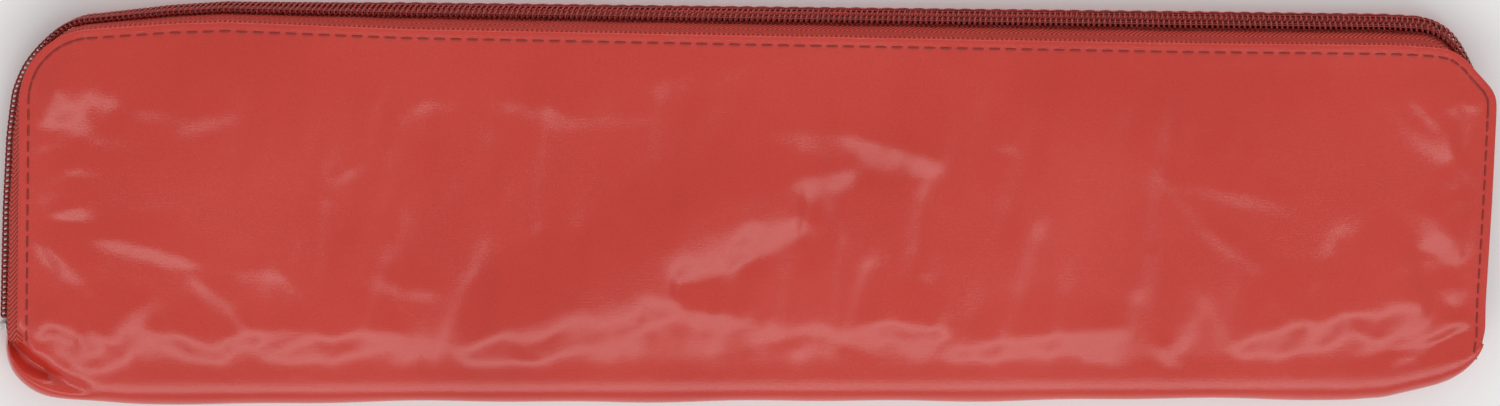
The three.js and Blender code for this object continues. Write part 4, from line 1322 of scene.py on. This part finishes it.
# %% [markdown]
# ## The folded blanket
# The blanket is one square of glass cloth, 0.9 m on a side, folded in three along the pouch and
# then to and fro in nine. A block with lines on its edge would look the same when shut, but the
# cover opens. So the flat square is really folded: each of its points is carried along the
# stack's middle line, and its layer says how far it lies beside that line. At a turn the three
# layers become three nested bends.

# %% Folded blanket
BLANKET = 900.0
FOLDS_ALONG, FOLDS_ACROSS = 3, 9
pack_low, pack_high = corners("fire_blanket")
LAYER = (pack_high[2] - pack_low[2]) / (FOLDS_ALONG * FOLDS_ACROSS)
GLASS_THICK = 0.26
rng = np.random.default_rng(7)


def zigzag(total, panels, width, radius, jitter):
    """A strip folded to and fro: distance along it, position across, height and lean."""
    rows = []
    length = total / panels
    for k in range(panels):
        flat = np.linspace(0, 1, 10)
        way = 1 if k % 2 == 0 else -1
        start, stop = radius + jitter[k], width - radius - jitter[k + 1]
        across = start + flat * (stop - start) if way > 0 else stop - flat * (stop - start)
        rows += [((k + 0.02 + 0.94 * f) * length, a, k, 0.0) for f, a in zip(flat, across)]
        if k < panels - 1:
            edge = stop if way > 0 else start
            for turn in np.linspace(0, math.pi, 9)[1:-1]:
                rows.append(((k + 0.96 + 0.06 * turn / math.pi) * length,
                             edge + way * radius * math.sin(turn),
                             k + (1 - math.cos(turn)) / 2, way * turn))
    return np.array(rows)


def blanket_points():
    pack_width, pack_length = pack_high[1] - pack_low[1], pack_high[0] - pack_low[0]
    stack = FOLDS_ALONG * LAYER
    across = zigzag(BLANKET, FOLDS_ACROSS, pack_width, stack / 2, rng.uniform(0, 0.9, FOLDS_ACROSS + 1))
    along = zigzag(BLANKET, FOLDS_ALONG, pack_length, LAYER / 2, rng.uniform(0, 0.8, FOLDS_ALONG + 1))
    points = []
    for _, y, panel, _ in across:
        whole = int(math.floor(panel + 1e-9))
        part = panel - whole
        tilt = math.pi * math.acos(1 - 2 * part) / math.pi
        flip = 1 if whole % 2 == 0 else -1
        leaning = np.array([math.sin(tilt) * flip, math.cos(tilt) * flip])
        normal = leaning if part > 1e-6 else np.array([0.0, flip])
        height = stack / 2 + panel * stack
        for _, x, layer, _ in along:
            off = (layer - 1) * LAYER
            sag = 0.10 * math.sin(x / 41 + panel) * math.sin(math.pi * y / pack_width)
            points.append((pack_low[0] + x, pack_low[1] + y + normal[0] * off,
                           pack_low[2] + height + normal[1] * off + sag))
    return np.array(points), len(across), len(along)


sheet_points, sheet_rows, sheet_columns = blanket_points()
sheet_points[:, 2] = np.clip(sheet_points[:, 2], pack_low[2] + 0.05, pack_high[2])
blanket = new_piece("fire_blanket_sheet", sheet_points, grid_faces(sheet_rows, sheet_columns), GLASS)
add_modifier(blanket, "SOLIDIFY", thickness=GLASS_THICK * MM, offset=0)
baked(blanket)
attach(blanket, "base")
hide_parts("fire_blanket")
print("blanket:", sheet_rows, "x", sheet_columns, "points,", len(blanket.data.polygons), "faces")

# %% [markdown]
# ## The pull tapes
# Two tapes of black webbing let a hand pull the blanket open. Each is a ribbed band with
# a rounded free end and is held by a box of stitches. The band is a grid whose rows wave
# slightly, so that it lies on the blanket like cloth and not like a bar.

# %% Pull tapes


def pull_tape(node, name):
    low, high = corners(node)
    xs, ys = np.linspace(low[0], high[0], 41), np.linspace(low[1], high[1], 13)
    grid = np.array([(x, y, 0) for x in xs for y in ys])
    run = (grid[:, 0] - low[0]) / (high[0] - low[0])
    rim = (grid[:, 1] - low[1]) / (high[1] - low[1])
    grid[:, 2] = (low[2] + 0.45 + 0.10 * np.sin(run * 9) + 0.08 * np.sin(run * 21)
                  - 0.12 * np.abs(2 * rim - 1) ** 6)
    end = np.clip((run - 0.93) / 0.07, 0, 1)
    grid[:, 1] += (0.5 - rim) * 2.4 * end**2
    band = new_piece(name, grid, [f[::-1] for f in grid_faces(41, 13)], WEBBING)
    add_modifier(band, "SOLIDIFY", thickness=0.75 * MM, offset=0)
    baked(band)
    box_x, box_y = (low[0] + 4, low[0] + 24), (low[1] + 3.5, high[1] - 3.5)
    legs = [((box_x[0], box_y[0]), (box_x[1], box_y[0])), ((box_x[1], box_y[0]), (box_x[1], box_y[1])),
            ((box_x[1], box_y[1]), (box_x[0], box_y[1])), ((box_x[0], box_y[1]), (box_x[0], box_y[0])),
            ((box_x[0], box_y[0]), (box_x[1], box_y[1])), ((box_x[0], box_y[1]), (box_x[1], box_y[0]))]
    spots, runs = [], []
    for a, b in legs:
        a, b = np.array(a), np.array(b)
        count = int(np.linalg.norm(b - a) / 2.6)
        for k in range(count):
            spots.append((*(a + (b - a) * (k + 0.5) / count), low[2] + 0.9))
            runs.append((*(b - a), 0))
    spots, runs = np.array(spots, float), np.array(runs, float)
    spots[:, 2] = surface_height(band, spots) + 0.02
    seam = row_of(name + "_seam", STITCH_TREE, spots, runs, np.tile(UP, (len(spots), 1)), THREAD_FINISH,
                  length=2.1, depth=0.10, thickness=0.32)
    piece = joined(name, [band, seam])
    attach(piece, "base")
    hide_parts(node)
    return piece


pull_tape("left_pull_tape", "left_webbing")
pull_tape("right_pull_tape", "right_webbing")
